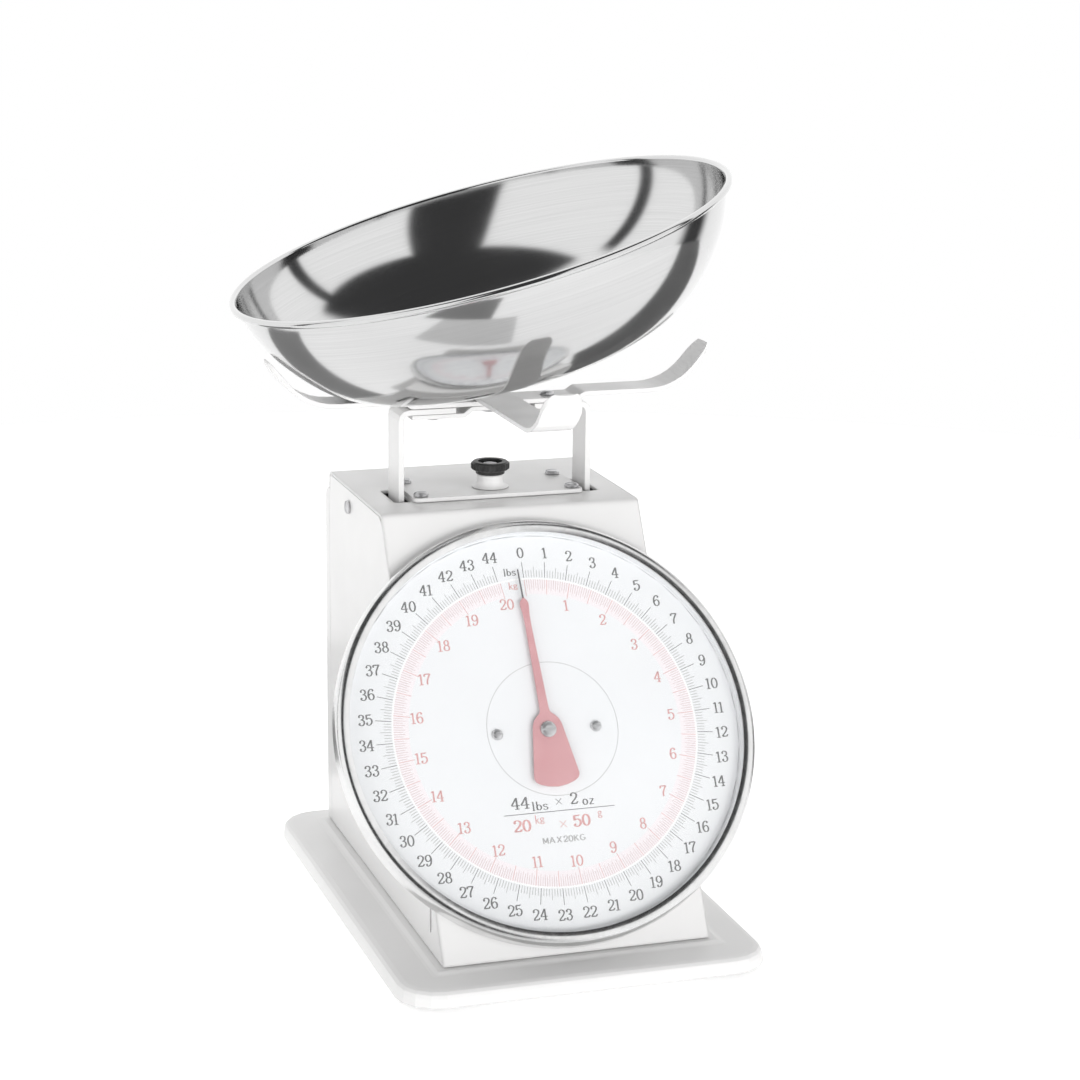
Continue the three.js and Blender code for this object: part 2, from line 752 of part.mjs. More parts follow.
function zeroKnob() {
  const shape = new THREE.Shape();
  const steps = KNOB_RIDGES * 2;
  for (let step = 0; step < steps; step += 1) {
    const angle = (step / steps) * Math.PI * 2;
    const radius = step % 2 === 0 ? KNOB_RADIUS : KNOB_RADIUS - 0.55;
    const point = [radius * Math.cos(angle), radius * Math.sin(angle)];
    if (step === 0) shape.moveTo(...point);
    else shape.lineTo(...point);
  }
  const knurl = alongZ(shape, KNOB_BOTTOM_Z + 1.8, KNOB_TOP_Z);
  const envelope = turned(
    [
      [0, KNOB_BOTTOM_Z],
      [7.2, KNOB_BOTTOM_Z],
      [7.5, KNOB_BOTTOM_Z + 1.8],
      [KNOB_RADIUS - 1.2, KNOB_BOTTOM_Z + 1.8],
      [KNOB_RADIUS + 0.1, KNOB_BOTTOM_Z + 2.7],
      [KNOB_RADIUS + 0.1, KNOB_TOP_Z - 1.1],
      [KNOB_RADIUS - 1.2, KNOB_TOP_Z],
      [0, KNOB_TOP_Z],
    ],
    36
  );
  const collar = post(7.3, 0, 0, KNOB_BOTTOM_Z, KNOB_BOTTOM_Z + 2, 24);
  const bore = post(3.2, 0, 0, 200, 230, 20);
  const recess = post(6.2, 0, 0, KNOB_TOP_Z - 3.2, 230, 24);
  const body = knurl.intersect(envelope).add(collar);
  return cut(body, [bore, recess]).translate([0, KNOB_Y, 0]);
}

function adjustingScrew() {
  const head = screw(4.6, 2, 2.9, 50);
  return head.translate([0, KNOB_Y, KNOB_TOP_Z - 2.9]);
}

function knobBushing() {
  const outline = [
    [3.2, CASE_TOP_Z + 2 + 2 * GAP],
    [11, CASE_TOP_Z + 2 + 2 * GAP],
    [8.5, KNOB_BOTTOM_Z - 1],
    [7.2, KNOB_BOTTOM_Z - GAP],
    [3.2, KNOB_BOTTOM_Z - GAP],
  ];
  return turned(outline, 28).translate([0, KNOB_Y, 0]);
}

// ---------- dial, built flat: x right, y up the face, z out of it ----------
function dialCase() {
  const outline = [
    [4, 0.3],
    [99.4, 0.3],
    [100.4, 1.2],
    [100.4, 6.8],
    [99.3, 6.8],
    [99.3, 1.6],
    [98.7, 1.3],
    [4, 1.3],
  ];
  const holes = [-25, 25].map((x) => post(1.8, x, 0, -2, 4, 10));
  return cut(turned(outline, 40), holes);
}

function dialPlate() {
  const outline = [
    [3, 1.6],
    [98.2, 1.6],
    [98.2, 2.6],
    [3, 2.6],
  ];
  const holes = [-25, 25].map((x) => post(1.8, x, 0, 0, 4, 10));
  return cut(turned(outline, 40), holes);
}

function lens() {
  const outline = [
    [0, 7.1],
    [101.4, 7.1],
    [101.4, 8.3],
    [0, 8.3],
  ];
  return turned(outline, 40);
}

function bezel() {
  const outline = [
    [BEZEL_RADIUS - 1.2, 0.3],
    [BEZEL_RADIUS, 0.3],
    [BEZEL_RADIUS, 6],
    [BEZEL_RADIUS - 0.6, 8],
    [BEZEL_RADIUS - 2, 9.2],
    [BEZEL_RADIUS - 4, 9.5],
    [GLASS_RADIUS, 9.1],
    [GLASS_RADIUS, 8.6],
    [BEZEL_RADIUS - 3, 8.6],
    [BEZEL_RADIUS - 1.2, 6.4],
  ];
  return turned(outline, 40);
}

function pointer() {
  const rightSide = [
    [0, -28.2],
    [5, -27.5],
    [9.6, -25.6],
    [11.3, -23],
    [7.6, 1],
    [6.6, 4.6],
    [4, 7.2],
    [2.4, 9],
    [1.1, 56],
    [2.15, 61.6],
    [1.5, 64.6],
    [0.45, 67],
    [0.3, 84],
  ];
  const leftSide = rightSide.slice(1).reverse().map(([x, y]) => [-x, y]);
  const blade = alongZ(polygon(rightSide.concat(leftSide)), 4.6, 5.3);
  return blade.subtract(post(1.2, 0, 0, 0, 10, 12)).rotate([0, 0, POINTER_REST]);
}

function pointerScrew() {
  const head = screw(4, 1.1, 0.9, 3.2);
  return head.translate([0, 0, 5.6]);
}

function pinionShaft() {
  const rod = post(SHAFT_RADIUS, 0, 0, -43, 4.3, 16);
  const journal = post(2.4, 0, 0, -25.6, -6, 16);
  return rod.add(journal).subtract(post(1.1, 0, 0, 2, 6, 12));
}

function pinion() {
  const shape = new THREE.Shape();
  const root = PITCH_RADIUS - 1.3 * GEAR_MODULE;
  const tip = PITCH_RADIUS + 0.85 * GEAR_MODULE;
  for (let tooth = 0; tooth < PINION_TEETH; tooth += 1) {
    const middle = ((tooth + 0.5) / PINION_TEETH) * Math.PI * 2;
    const profile = [
      [root, -0.165],
      [PITCH_RADIUS, -0.088],
      [tip, -0.036],
      [tip, 0.036],
      [PITCH_RADIUS, 0.088],
      [root, 0.165],
    ];
    profile.forEach(([radius, offset], i) => {
      const angle = middle + offset;
      const point = [radius * Math.cos(angle), radius * Math.sin(angle)];
      if (tooth === 0 && i === 0) shape.moveTo(...point);
      else shape.lineTo(...point);
    });
  }
  const wheel = alongZ(shape, -GEAR_DEPTH - 2.5, -GEAR_DEPTH + 2.5);
  return wheel.subtract(post(SHAFT_RADIUS + RUNNING, 0, 0, -40, -20, 16));
}

const RACK_FOOT = -6;
const RACK_HEAD = 46;
const RACK_PIN = 40;

function rack() {
  const pitch = Math.PI * GEAR_MODULE;
  const rootX = PITCH_RADIUS + 1.3 * GEAR_MODULE;
  const tipX = PITCH_RADIUS - 0.8 * GEAR_MODULE;
  const points = [[9, RACK_FOOT], [9, RACK_HEAD], [rootX, RACK_HEAD]];
  const teeth = 19;
  for (let tooth = teeth - 3; tooth > -3; tooth -= 1) {
    const middle = tooth * pitch;
    points.push([rootX, middle + 0.52]);
    points.push([tipX, middle + 0.2]);
    points.push([tipX, middle - 0.2]);
    points.push([rootX, middle - 0.52]);
  }
  points.push([rootX, RACK_FOOT]);
  const bar = alongZ(polygon(points), -GEAR_DEPTH - 2, -GEAR_DEPTH + 2);
  const pin = crossPost(1.6, 8.5, 13.4, RACK_PIN, -GEAR_DEPTH, 14);
  return bar.add(pin);
}

// The arm on the yoke that carries the rack: a foot on the lower bar and a slotted cheek.
function rackArm() {
  const pinY = DIAL_Y + faceUp[0] * RACK_PIN - faceOut[0] * GEAR_DEPTH;
  const pinZ = DIAL_Z + faceUp[1] * RACK_PIN - faceOut[1] * GEAR_DEPTH;
  const floor = YOKE_BOTTOM_Z + YOKE_SHEET / 2 + GAP;
  const cheek = polygon([
    [13, floor],
    [31, floor],
    [31, floor + 8],
    [14, pinZ + 5.5],
    [pinY - 18, pinZ + 5.5],
    [pinY - 20, pinZ + 3.5],
    [pinY - 20, pinZ - 3.5],
    [pinY - 18, pinZ - 5.5],
    [2, pinZ - 5.5],
  ]);
  const plate = alongX(cheek, 10.2, 12.2);
  const foot = box(-3, 10.4, 13, 31, floor, floor + 2);
  const slot = roundedRectangle(pinY - 16, pinY + 3.4, pinZ - 1.75, pinZ + 1.75, 1.7);
  const rivetHole = post(2.1, 2, COLUMN_Y, 80, 110, 10);
  return cut(plate.add(foot), [alongX(slot, 5, 20), rivetHole]);
}

function armRivet() {
  const floor = YOKE_BOTTOM_Z + YOKE_SHEET / 2 + GAP;
  const under = YOKE_BOTTOM_Z - YOKE_SHEET / 2 - GAP;
  const outline = [
    [0, under - 1.3],
    [3, under - 1.3],
    [3.4, under],
    [1.8, under],
    [1.8, floor + 2.3],
    [3.4, floor + 2.3],
    [3, floor + 3.6],
    [0, floor + 3.6],
  ];
  return turned(outline, 14).translate([2, COLUMN_Y, 0]);
}

// The bracket behind the face that carries the pinion's shaft in two bearings.
function movementBracket() {
  const front = alongZ(roundedRectangle(-31, 31, -9, 9, 4), -3.3, -1.8);
  const webs = [-19, 18].map((x) => box(x, x + 1.5, -8, 8, -40, -2.5));
  const rear = box(-19, 19.5, -8, 8, -41.5, -39.5);
  const guide = box(9.4, 18.5, -8, -4, -35, -28);
  const tools = [
    post(SHAFT_RADIUS + RUNNING, 0, 0, -60, -35, 20),
    post(SHAFT_RADIUS + RUNNING, 0, 0, -5, 0, 20),
    post(1.8, -25, 0, -5, 0, 10),
    post(1.8, 25, 0, -5, 0, 10),
  ];
  return cut(joined([front, ...webs, rear]), tools).add(guide);
}

// ---------- the assembly ----------
const scale = new THREE.Group();
scale.name = 'dial_platform_scale';
scale.position.x = SYMMETRY_X;

scale.add(piece('base_plate', basePlate(), paint()));
[
  ['foot_front_left', -FOOT_X, -FOOT_Y],
  ['foot_front_right', FOOT_X, -FOOT_Y],
  ['foot_rear_left', -FOOT_X, FOOT_Y],
  ['foot_rear_right', FOOT_X, FOOT_Y],
].forEach(([name, x, y]) => scale.add(piece(name, foot(x, y), rubber())));

scale.add(piece('front_cover', frontCover(), paint()));
scale.add(piece('left_side_panel', sidePanel(-1), paint()));
scale.add(piece('right_side_panel', sidePanel(1), paint()));
scale.add(piece('rear_cover', rearCover(), paint()));
scale.add(piece('inner_frame', innerFrame(), zinc()));
scale.add(piece('top_plate', topPlate(), paint()));

topScrewPlaces.forEach(([x, y], i) => {
  const fastener = piece(`top_screw_${i + 1}`, screw(3.75, 2, 0.9, 10), zinc());
  fastener.position.set(x, y, CASE_TOP_Z + 2 + GAP * 2);
  scale.add(fastener);
});

[
  ['side_screw_left', -1],
  ['side_screw_right', 1],
].forEach(([name, side]) => {
  const fastener = piece(name, screw(3.5, 1.8, 1.75, 11), zinc());
  fastener.position.set(side * (CASE_HALF_WIDTH + GAP), 48.7, 193.6);
  fastener.rotation.y = (side * Math.PI) / 2;
  scale.add(fastener);
});

[
  [-58, 28],
  [58, 28],
  [-58, 182],
  [58, 182],
].forEach(([x, z], i) => {
  const fastener = piece(`rear_screw_${i + 1}`, screw(3.5, 1.8, 1.75, 13), zinc());
  fastener.position.set(x, CASE_BACK_Y + 7.8 + GAP * 2, z);
  fastener.rotation.x = -Math.PI / 2;
  scale.add(fastener);
});

[
  ['base_screw_left', -50],
  ['base_screw_right', 50],
].forEach(([name, x]) => {
  const fastener = piece(name, screw(4, 2.2, 1.9, 9), zinc());
  fastener.position.set(x, 60, SEAT_Z - BASE_SHEET - GAP);
  fastener.rotation.x = Math.PI;
  scale.add(fastener);
});

const dial = new THREE.Group();
dial.name = 'dial';
dial.position.set(0, DIAL_Y, DIAL_Z);
dial.rotation.x = Math.PI / 2 - FACE_TILT;
dial.add(piece('dial_case', dialCase(), zinc()));
dial.add(piece('dial_plate', dialPlate(), dialWhite()));
dial.add(piece('lens', lens(), clearPane()));
dial.add(piece('bezel', bezel(), chrome()));
dial.add(piece('pointer', pointer(), pointerRed()));
dial.add(piece('pointer_screw', pointerScrew(), chrome()));
dial.add(piece('pinion_shaft', pinionShaft(), zinc()));
dial.add(piece('pinion', pinion(), brass()));
dial.add(piece('rack', rack(), brass()));
dial.add(piece('movement_bracket', movementBracket(), zinc()));
[
  ['dial_screw_left', -25],
  ['dial_screw_right', 25],
].forEach(([name, x]) => {
  const fastener = piece(name, screw(2.75, 1.2, 1.5, 8), zinc());
  fastener.position.set(x, 0, 2.9);
  dial.add(fastener);
});
scale.add(dial);

scale.add(piece('yoke', yoke(), paint()));
scale.add(piece('hub_strap', hubStrap(), paint()));
scale.add(piece('spider_cross_bar', spiderBar(CROSS_REACH, true), paint()));
scale.add(piece('spider_long_bar', spiderBar(LONG_REACH, false), paint()));
scale.add(piece('hub_rivet', hubRivet(), zinc()));
scale.add(piece('tab_rivet_left', tabRivet(-30), zinc()));
scale.add(piece('tab_rivet_right', tabRivet(30), zinc()));
scale.add(piece('rack_arm', rackArm(), zinc()));
scale.add(piece('arm_rivet', armRivet(), zinc()));

[
  ['upper_link', UPPER_LINK_Z],
  ['lower_link', LOWER_LINK_Z],
].forEach(([name, z]) => {
  const lever = piece(name, link(), zinc());
  lever.position.set(0, LINK_REAR_Y, z);
  lever.rotation.x = -LINK_REST;
  scale.add(lever);
});

[
  ['spring_left', -SPRING_X],
  ['spring_right', SPRING_X],
].forEach(([name, x]) => {
  const coil = piece(name, spring(), springSteel());
  coil.position.set(x, KNOB_Y, 0);
  scale.add(coil);
});
scale.add(piece('hanger', hanger(), zinc()));
scale.add(piece('zero_knob', zeroKnob(), blackPlastic()));
scale.add(piece('adjusting_screw', adjustingScrew(), zinc()));
scale.add(piece('knob_bushing', knobBushing(), paint()));

const bowl = piece('pan', pan(), stainless());
bowl.position.set(PAN_X, COLUMN_Y, PAN_Z);
bowl.rotation.y = -PAN_TILT;
scale.add(bowl);

export default scale;
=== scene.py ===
"""Looks of the dial platform scale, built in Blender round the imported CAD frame.

Metres, +Z up, the dial faces -Y, z = 0 is the surface that the feet stand on.
"""
import json
import math

import bmesh
import bpy
from mathutils import Matrix, Vector


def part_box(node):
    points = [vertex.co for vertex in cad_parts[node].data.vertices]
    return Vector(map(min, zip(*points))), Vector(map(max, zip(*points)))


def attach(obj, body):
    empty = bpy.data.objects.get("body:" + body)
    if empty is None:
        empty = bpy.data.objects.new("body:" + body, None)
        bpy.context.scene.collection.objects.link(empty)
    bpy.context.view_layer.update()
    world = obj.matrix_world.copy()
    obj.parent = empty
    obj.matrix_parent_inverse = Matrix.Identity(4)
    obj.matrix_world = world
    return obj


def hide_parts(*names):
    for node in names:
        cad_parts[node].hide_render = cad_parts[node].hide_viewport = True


MM = 0.001

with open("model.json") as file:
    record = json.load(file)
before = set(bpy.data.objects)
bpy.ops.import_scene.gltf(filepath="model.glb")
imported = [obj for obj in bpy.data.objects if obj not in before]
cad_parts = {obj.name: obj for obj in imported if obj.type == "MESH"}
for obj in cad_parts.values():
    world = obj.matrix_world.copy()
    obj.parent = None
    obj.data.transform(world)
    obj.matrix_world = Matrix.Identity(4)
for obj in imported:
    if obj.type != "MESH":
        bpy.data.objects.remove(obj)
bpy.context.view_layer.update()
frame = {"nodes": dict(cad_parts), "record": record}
NODES = frame["nodes"]
RECORD = frame["record"]
JOINTS = {joint["name"]: joint for joint in RECORD["behaviour"]["joints"]}

ROOM_LIGHT = 1.17
DARK_ROOM = 0.045  # tone of the room's dark parts

# ---------- sizes of the dial, in millimetres and degrees about its middle ----------
POUND, KILO = 7.95, 17.53  # turn of the pointer for each
FACE_HEIGHT = 2.6  # top of the dial plate
TINT_IN, LINE_IN, LINE_OUT = 68.4, 75.9, 76.7  # the pink band and the white line round it
POUND_NUMBERS, KILO_NUMBERS = 89.6, 64.4  # radius of the numbers' middles
NUMBER_HEIGHT = 5.6
POINTER_REST = 2.3  # the pointer rests short of zero

# ---------- camera ----------
CAMERA_PLACE = (-0.4059, -1.32283, 0.52522)
CAMERA_FORWARD = (0.30181, 0.92284, -0.23938)
CAMERA_ROLL = 0.55
CAMERA_LENS = 95.11

# ---------- places taken from the frame ----------
SPINDLE = Vector(JOINTS["pointer_spin"]["pos_m"])
FACE_OUT = Vector(JOINTS["pointer_spin"]["axis"]).normalized()
FACE_UP = FACE_OUT.cross(Vector((1, 0, 0))).normalized()
DIAL_PLACE = Matrix.Translation(SPINDLE) @ Matrix(
    (
        (1, FACE_UP.x, FACE_OUT.x, 0),
        (0, FACE_UP.y, FACE_OUT.y, 0),
        (0, FACE_UP.z, FACE_OUT.z, 0),
        (0, 0, 0, 1),
    )
)


# The bowl, about its rim: it leans on the left arm, tipped as in the frame's rest pose.
BOWL_TILT = math.radians(15.4)
RIM_RADIUS, RIM_BEAD = 128 * MM, 1.75 * MM
PAN_LOW, PAN_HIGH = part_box("pan")
BOWL_PLACE = Matrix.Translation(
    (
        (PAN_LOW.x + PAN_HIGH.x) / 2,
        (PAN_LOW.y + PAN_HIGH.y) / 2,
        PAN_HIGH.z - (RIM_RADIUS - RIM_BEAD) * math.sin(BOWL_TILT) - RIM_BEAD * (1 - math.cos(BOWL_TILT)),
    )
) @ Matrix.Rotation(-BOWL_TILT, 4, "Y")


# ---------- meshes ----------
def add_mesh(name, vertices, faces, material, smooth=None):
    """A new object from vertices and faces. Edges flatter than smooth, in degrees, are soft."""
    mesh = bpy.data.meshes.new(name)
    mesh.from_pydata([tuple(v) for v in vertices], [], faces)
    mesh.validate()
    if smooth is not None:
        for polygon in mesh.polygons:
            polygon.use_smooth = True
        mesh.set_sharp_from_angle(angle=math.radians(smooth))
    mesh.materials.append(material)
    piece = bpy.data.objects.new(name, mesh)
    bpy.context.scene.collection.objects.link(piece)
    return piece


def face_out(piece):
    """Turns every face of a closed mesh outwards."""
    work = bmesh.new()
    work.from_mesh(piece.data)
    bmesh.ops.recalc_face_normals(work, faces=work.faces)
    work.to_mesh(piece.data)
    work.free()
    return piece


def lathe(name, outline, material, sides=128, smooth=35):
    """Turns a closed outline of (radius, height) points, in metres, round its own Z axis."""
    vertices, rings = [], []
    for radius, height in outline:
        if radius < 1e-7:
            rings.append([len(vertices)])
            vertices.append((0, 0, height))
            continue
        rings.append(list(range(len(vertices), len(vertices) + sides)))
        for side in range(sides):
            angle = 2 * math.pi * side / sides
            vertices.append((radius * math.cos(angle), radius * math.sin(angle), height))
    faces = []
    for lower, upper in zip(rings, rings[1:] + rings[:1]):
        if len(lower) == 1 and len(upper) == 1:
            continue
        for side in range(sides):
            after = (side + 1) % sides
            if len(lower) == 1:
                faces.append((lower[0], upper[after], upper[side]))
            elif len(upper) == 1:
                faces.append((lower[side], lower[after], upper[0]))
            else:
                faces.append((lower[side], lower[after], upper[after], upper[side]))
    return face_out(add_mesh(name, vertices, faces, material, smooth))


def bevel(piece, width, segments=3, angle=35):
    """Rounds the sharp edges of a mesh by a real radius, in metres."""
    modifier = piece.modifiers.new("edges", "BEVEL")
    modifier.width = width
    modifier.segments = segments
    modifier.limit_method = "ANGLE"
    modifier.angle_limit = math.radians(angle)
    modifier.harden_normals = True
    for polygon in piece.data.polygons:
        polygon.use_smooth = True
    piece.data.set_sharp_from_angle(angle=math.radians(60))


# ---------- materials ----------
class Look:
    """A node material, with short calls to add and join its nodes."""

    def __init__(self, name):
        self.material = bpy.data.materials.new(name)
        self.material.use_nodes = True
        self.tree = self.material.node_tree
        self.shader = next(n for n in self.tree.nodes if n.type == "BSDF_PRINCIPLED")

    def node(self, kind, **settings):
        made = self.tree.nodes.new(kind)
        for key, value in settings.items():
            setattr(made, key, value)
        return made

    def join(self, a, b):
        self.tree.links.new(a, b)

    def set(self, **values):
        for key, value in values.items():
            self.shader.inputs[key.replace("_", " ")].default_value = value
        return self

    def place(self, scale=(1, 1, 1)):
        """Object coordinates, stretched."""
        coordinates = self.node("ShaderNodeTexCoord")
        mapping = self.node("ShaderNodeMapping")
        mapping.inputs["Scale"].default_value = scale
        self.join(coordinates.outputs["Object"], mapping.inputs["Vector"])
        return mapping.outputs["Vector"]

    def noise(self, where, scale, detail=4, roughness=0.5):
        made = self.node("ShaderNodeTexNoise")
        made.inputs["Scale"].default_value = scale
        made.inputs["Detail"].default_value = detail
        made.inputs["Roughness"].default_value = roughness
        self.join(where, made.inputs["Vector"])
        return made.outputs["Fac"]

    def ramp(self, value, stops):
        made = self.node("ShaderNodeValToRGB")
        elements = made.color_ramp.elements
        while len(elements) < len(stops):
            elements.new(0.5)
        for element, (at, color) in zip(elements, stops):
            element.position = at
            element.color = color if len(color) == 4 else (*color, 1)
        self.join(value, made.inputs["Fac"])
        return made.outputs["Color"]

    def spread(self, value, low, high):
        """A 0 to 1 value as a number between low and high."""
        made = self.node("ShaderNodeMapRange")
        made.inputs["From Min"].default_value = 0.3
        made.inputs["From Max"].default_value = 0.7
        made.inputs["To Min"].default_value = low
        made.inputs["To Max"].default_value = high
        self.join(value, made.inputs["Value"])
        return made.outputs["Result"]

    def bump(self, height, distance, strength=1.0, edge=None):
        made = self.node("ShaderNodeBump")
        made.inputs["Distance"].default_value = distance
        made.inputs["Strength"].default_value = strength
        self.join(height, made.inputs["Height"])
        if edge is not None:
            self.join(edge, made.inputs["Normal"])
        self.join(made.outputs["Normal"], self.shader.inputs["Normal"])

    def soft_edge(self, radius):
        """A normal that rounds sharp edges by a real radius."""
        made = self.node("ShaderNodeBevel", samples=4)
        made.inputs["Radius"].default_value = radius
        return made.outputs["Normal"]

    def color(self, output):
        self.join(output, self.shader.inputs["Base Color"])

    def rough(self, output):
        self.join(output, self.shader.inputs["Roughness"])


def grey(value, warmth=0.0):
    """A grey as red, green and blue."""
    return (value + warmth, value, value - warmth)


def enamel(name="enamel", edge_radius=0.0006):
    """Stove enamel on sheet steel: off-white, slightly uneven gloss, a fine orange peel."""
    look = Look(name)
    where = look.place()
    tone = look.noise(where, 9, 5)
    look.color(look.ramp(tone, [(0.35, grey(0.735, 0.004)), (0.65, grey(0.76, 0.004))]))
    look.rough(look.spread(look.noise(where, 60, 4), 0.30, 0.42))
    look.bump(look.noise(where, 900, 2), 0.00003, 0.5, look.soft_edge(edge_radius))
    return look.set(Coat_Weight=0.25, Coat_Roughness=0.15).material


def stainless_bowl():
    """Spun and polished stainless: fine rings of brushing round the axis, a few soft cloudy patches."""
    look = Look("stainless_bowl")
    coordinates = look.node("ShaderNodeTexCoord")
    # Back to the bowl's own axes, Z along the axis it was spun round.
    upright = look.node("ShaderNodeMapping", vector_type="TEXTURE")
    upright.inputs["Location"].default_value = BOWL_PLACE.to_translation()
    upright.inputs["Rotation"].default_value = BOWL_PLACE.to_euler()
    look.join(coordinates.outputs["Object"], upright.inputs["Vector"])
    apart = look.node("ShaderNodeSeparateXYZ")
    look.join(upright.outputs["Vector"], apart.inputs["Vector"])
    radius = look.node("ShaderNodeVectorMath", operation="LENGTH")
    flat = look.node("ShaderNodeCombineXYZ")
    look.join(apart.outputs["X"], flat.inputs["X"])
    look.join(apart.outputs["Y"], flat.inputs["Y"])
    look.join(flat.outputs["Vector"], radius.inputs[0])
    angle = look.node("ShaderNodeMath", operation="ARCTAN2")
    look.join(apart.outputs["Y"], angle.inputs[0])
    look.join(apart.outputs["X"], angle.inputs[1])
    slow = look.node("ShaderNodeMath", operation="MULTIPLY")
    slow.inputs[1].default_value = 0.0006
    look.join(angle.outputs["Value"], slow.inputs[0])
    polar = look.node("ShaderNodeCombineXYZ")
    look.join(radius.outputs["Value"], polar.inputs["X"])
    look.join(slow.outputs["Value"], polar.inputs["Y"])
    look.join(apart.outputs["Z"], polar.inputs["Z"])
    lines = look.noise(polar.outputs["Vector"], 2200, 3, 0.6)
    clouds = look.noise(coordinates.outputs["Object"], 22, 4)
    look.color(look.ramp(lines, [(0.3, grey(0.60)), (0.7, grey(0.66))]))
    look.rough(look.spread(clouds, 0.09, 0.14))
    look.bump(lines, 0.000004, 0.2)
    return look.set(Metallic=1.0).material


def chrome():
    """Satin plated ring with cloudy wear."""
    look = Look("chrome")
    where = look.place()
    look.color(look.ramp(look.noise(where, 40, 4), [(0.35, grey(0.70)), (0.65, grey(0.80))]))
    look.rough(look.spread(look.noise(where, 300, 3), 0.18, 0.26))
    look.bump(look.noise(where, 120, 2), 0.00002, 0.3)
    return look.set(Metallic=1.0).material


def zinc(name="zinc", tone=0.58, low=0.24, high=0.42, spangled=0.07):
    """Zinc plate: a bluish grey, spangled by a share of its tone."""
    look = Look(name)
    where = look.place()
    spangle = look.noise(where, 260, 3, 0.7)
    dull, bright = tone - spangled, tone + spangled
    tones = [(0.35, (dull, dull, dull + 0.01)), (0.65, (bright, bright, bright + 0.01))]
    look.color(look.ramp(spangle, tones))
    look.rough(look.spread(look.noise(where, 500, 4), low, high))
    look.bump(look.noise(where, 1500, 2), 0.00002, 0.4, look.soft_edge(0.0002))
    return look.set(Metallic=1.0).material


def brass():
    """Cut brass, cloudy with handling."""
    look = Look("brass")
    where = look.place()
    tones = [(0.35, (0.50, 0.34, 0.13)), (0.65, (0.66, 0.48, 0.22))]
    look.color(look.ramp(look.noise(where, 300, 4), tones))
    look.rough(look.spread(look.noise(where, 700, 3), 0.22, 0.38))
    look.bump(look.noise(where, 2200, 2), 0.00002, 0.4)
    return look.set(Metallic=1.0).material


def spring_wire():
    """Dark oiled spring steel."""
    look = Look("spring_wire")
    where = look.place((1, 1, 0.3))
    look.color(look.ramp(look.noise(where, 800, 4), [(0.35, grey(0.22)), (0.65, grey(0.36))]))
    look.rough(look.spread(look.noise(where, 900, 3), 0.28, 0.45))
    return look.set(Metallic=1.0).material


def black_plastic():
    """Moulded black plastic with a slight grain, lighter where fingers have rubbed it."""
    look = Look("black_plastic")
    where = look.place()
    look.color(look.ramp(look.noise(where, 180, 4), [(0.35, grey(0.012)), (0.7, grey(0.028))]))
    look.rough(look.spread(look.noise(where, 500, 3), 0.33, 0.5))
    look.bump(look.noise(where, 2500, 2), 0.00003, 0.5, look.soft_edge(0.0002))
    return look.material


def rubber():
    """Matt black rubber."""
    look = Look("rubber")
    where = look.place()
    look.color(look.ramp(look.noise(where, 300, 4), [(0.35, grey(0.02)), (0.7, grey(0.045))]))
    look.rough(look.spread(look.noise(where, 900, 3), 0.75, 0.92))
    look.bump(look.noise(where, 2000, 3), 0.00008, 0.6)
    return look.material


def dial_paper():
    """The dial's white enamel, a touch cooler than the casing."""
    look = Look("dial_paper")
    where = look.place()
    tones = [(0.35, (0.755, 0.765, 0.778)), (0.65, (0.775, 0.785, 0.798))]
    look.color(look.ramp(look.noise(where, 12, 4), tones))
    look.rough(look.spread(look.noise(where, 200, 3), 0.4, 0.52))
    look.bump(look.noise(where, 1500, 2), 0.00002, 0.3)
    return look.material


def ink(name, low, high):
    """Screen-printed ink, slightly uneven."""
    look = Look(name)
    look.color(look.ramp(look.noise(look.place(), 700, 4), [(0.35, low), (0.65, high)]))
    look.rough(look.spread(look.noise(look.place(), 900, 2), 0.45, 0.6))
    return look.material


def red_enamel():
    """Faded red paint on the pointer; the needle's thin tip, past the arrow bead, is dark."""
    look = Look("red_enamel")
    where = look.place()
    paint = look.ramp(look.noise(where, 120, 4), [(0.35, (0.53, 0.25, 0.265)), (0.65, (0.57, 0.285, 0.30))])
    apart = look.node("ShaderNodeSeparateXYZ")
    look.join(where, apart.inputs["Vector"])
    tip = look.node("ShaderNodeMapRange")
    tip.inputs["From Min"].default_value = 0.0658
    tip.inputs["From Max"].default_value = 0.0664
    look.join(apart.outputs["Y"], tip.inputs["Value"])
    mix = look.node("ShaderNodeMix", data_type="RGBA")
    look.join(tip.outputs["Result"], mix.inputs["Factor"])
    look.join(paint, mix.inputs[6])
    mix.inputs[7].default_value = (0.10, 0.095, 0.10, 1)
    look.color(mix.outputs[2])
    look.rough(look.spread(look.noise(where, 400, 3), 0.4, 0.52))
    look.bump(look.noise(where, 1800, 2), 0.00002, 0.4)
    return look.set(Coat_Weight=0.15).material


def clear_glass():
    """A clear pane: thin, glossy, with the faint milky veil of dust and skylight on it."""
    look = Look("clear_glass")
    where = look.place()
    tones = [(0.35, (0.93, 0.95, 0.96)), (0.65, (0.97, 0.98, 0.98))]
    look.color(look.ramp(look.noise(where, 15, 3), tones))
    look.rough(look.spread(look.noise(where, 60, 3), 0.02, 0.06))
    look.join(look.spread(look.noise(where, 8, 2), 0.035, 0.05), look.shader.inputs["Alpha"])
    look.material.surface_render_method = "BLENDED"
    return look.material


def card_paint(name, tone):
    """Matt grey paint of one tone."""
    look = Look(name)
    where = look.place()
    look.color(look.ramp(look.noise(where, 5, 3), [(0.3, grey(tone)), (0.7, grey(tone + 0.04))]))
    look.rough(look.spread(look.noise(where, 20, 3), 0.7, 0.8))
    return look.material


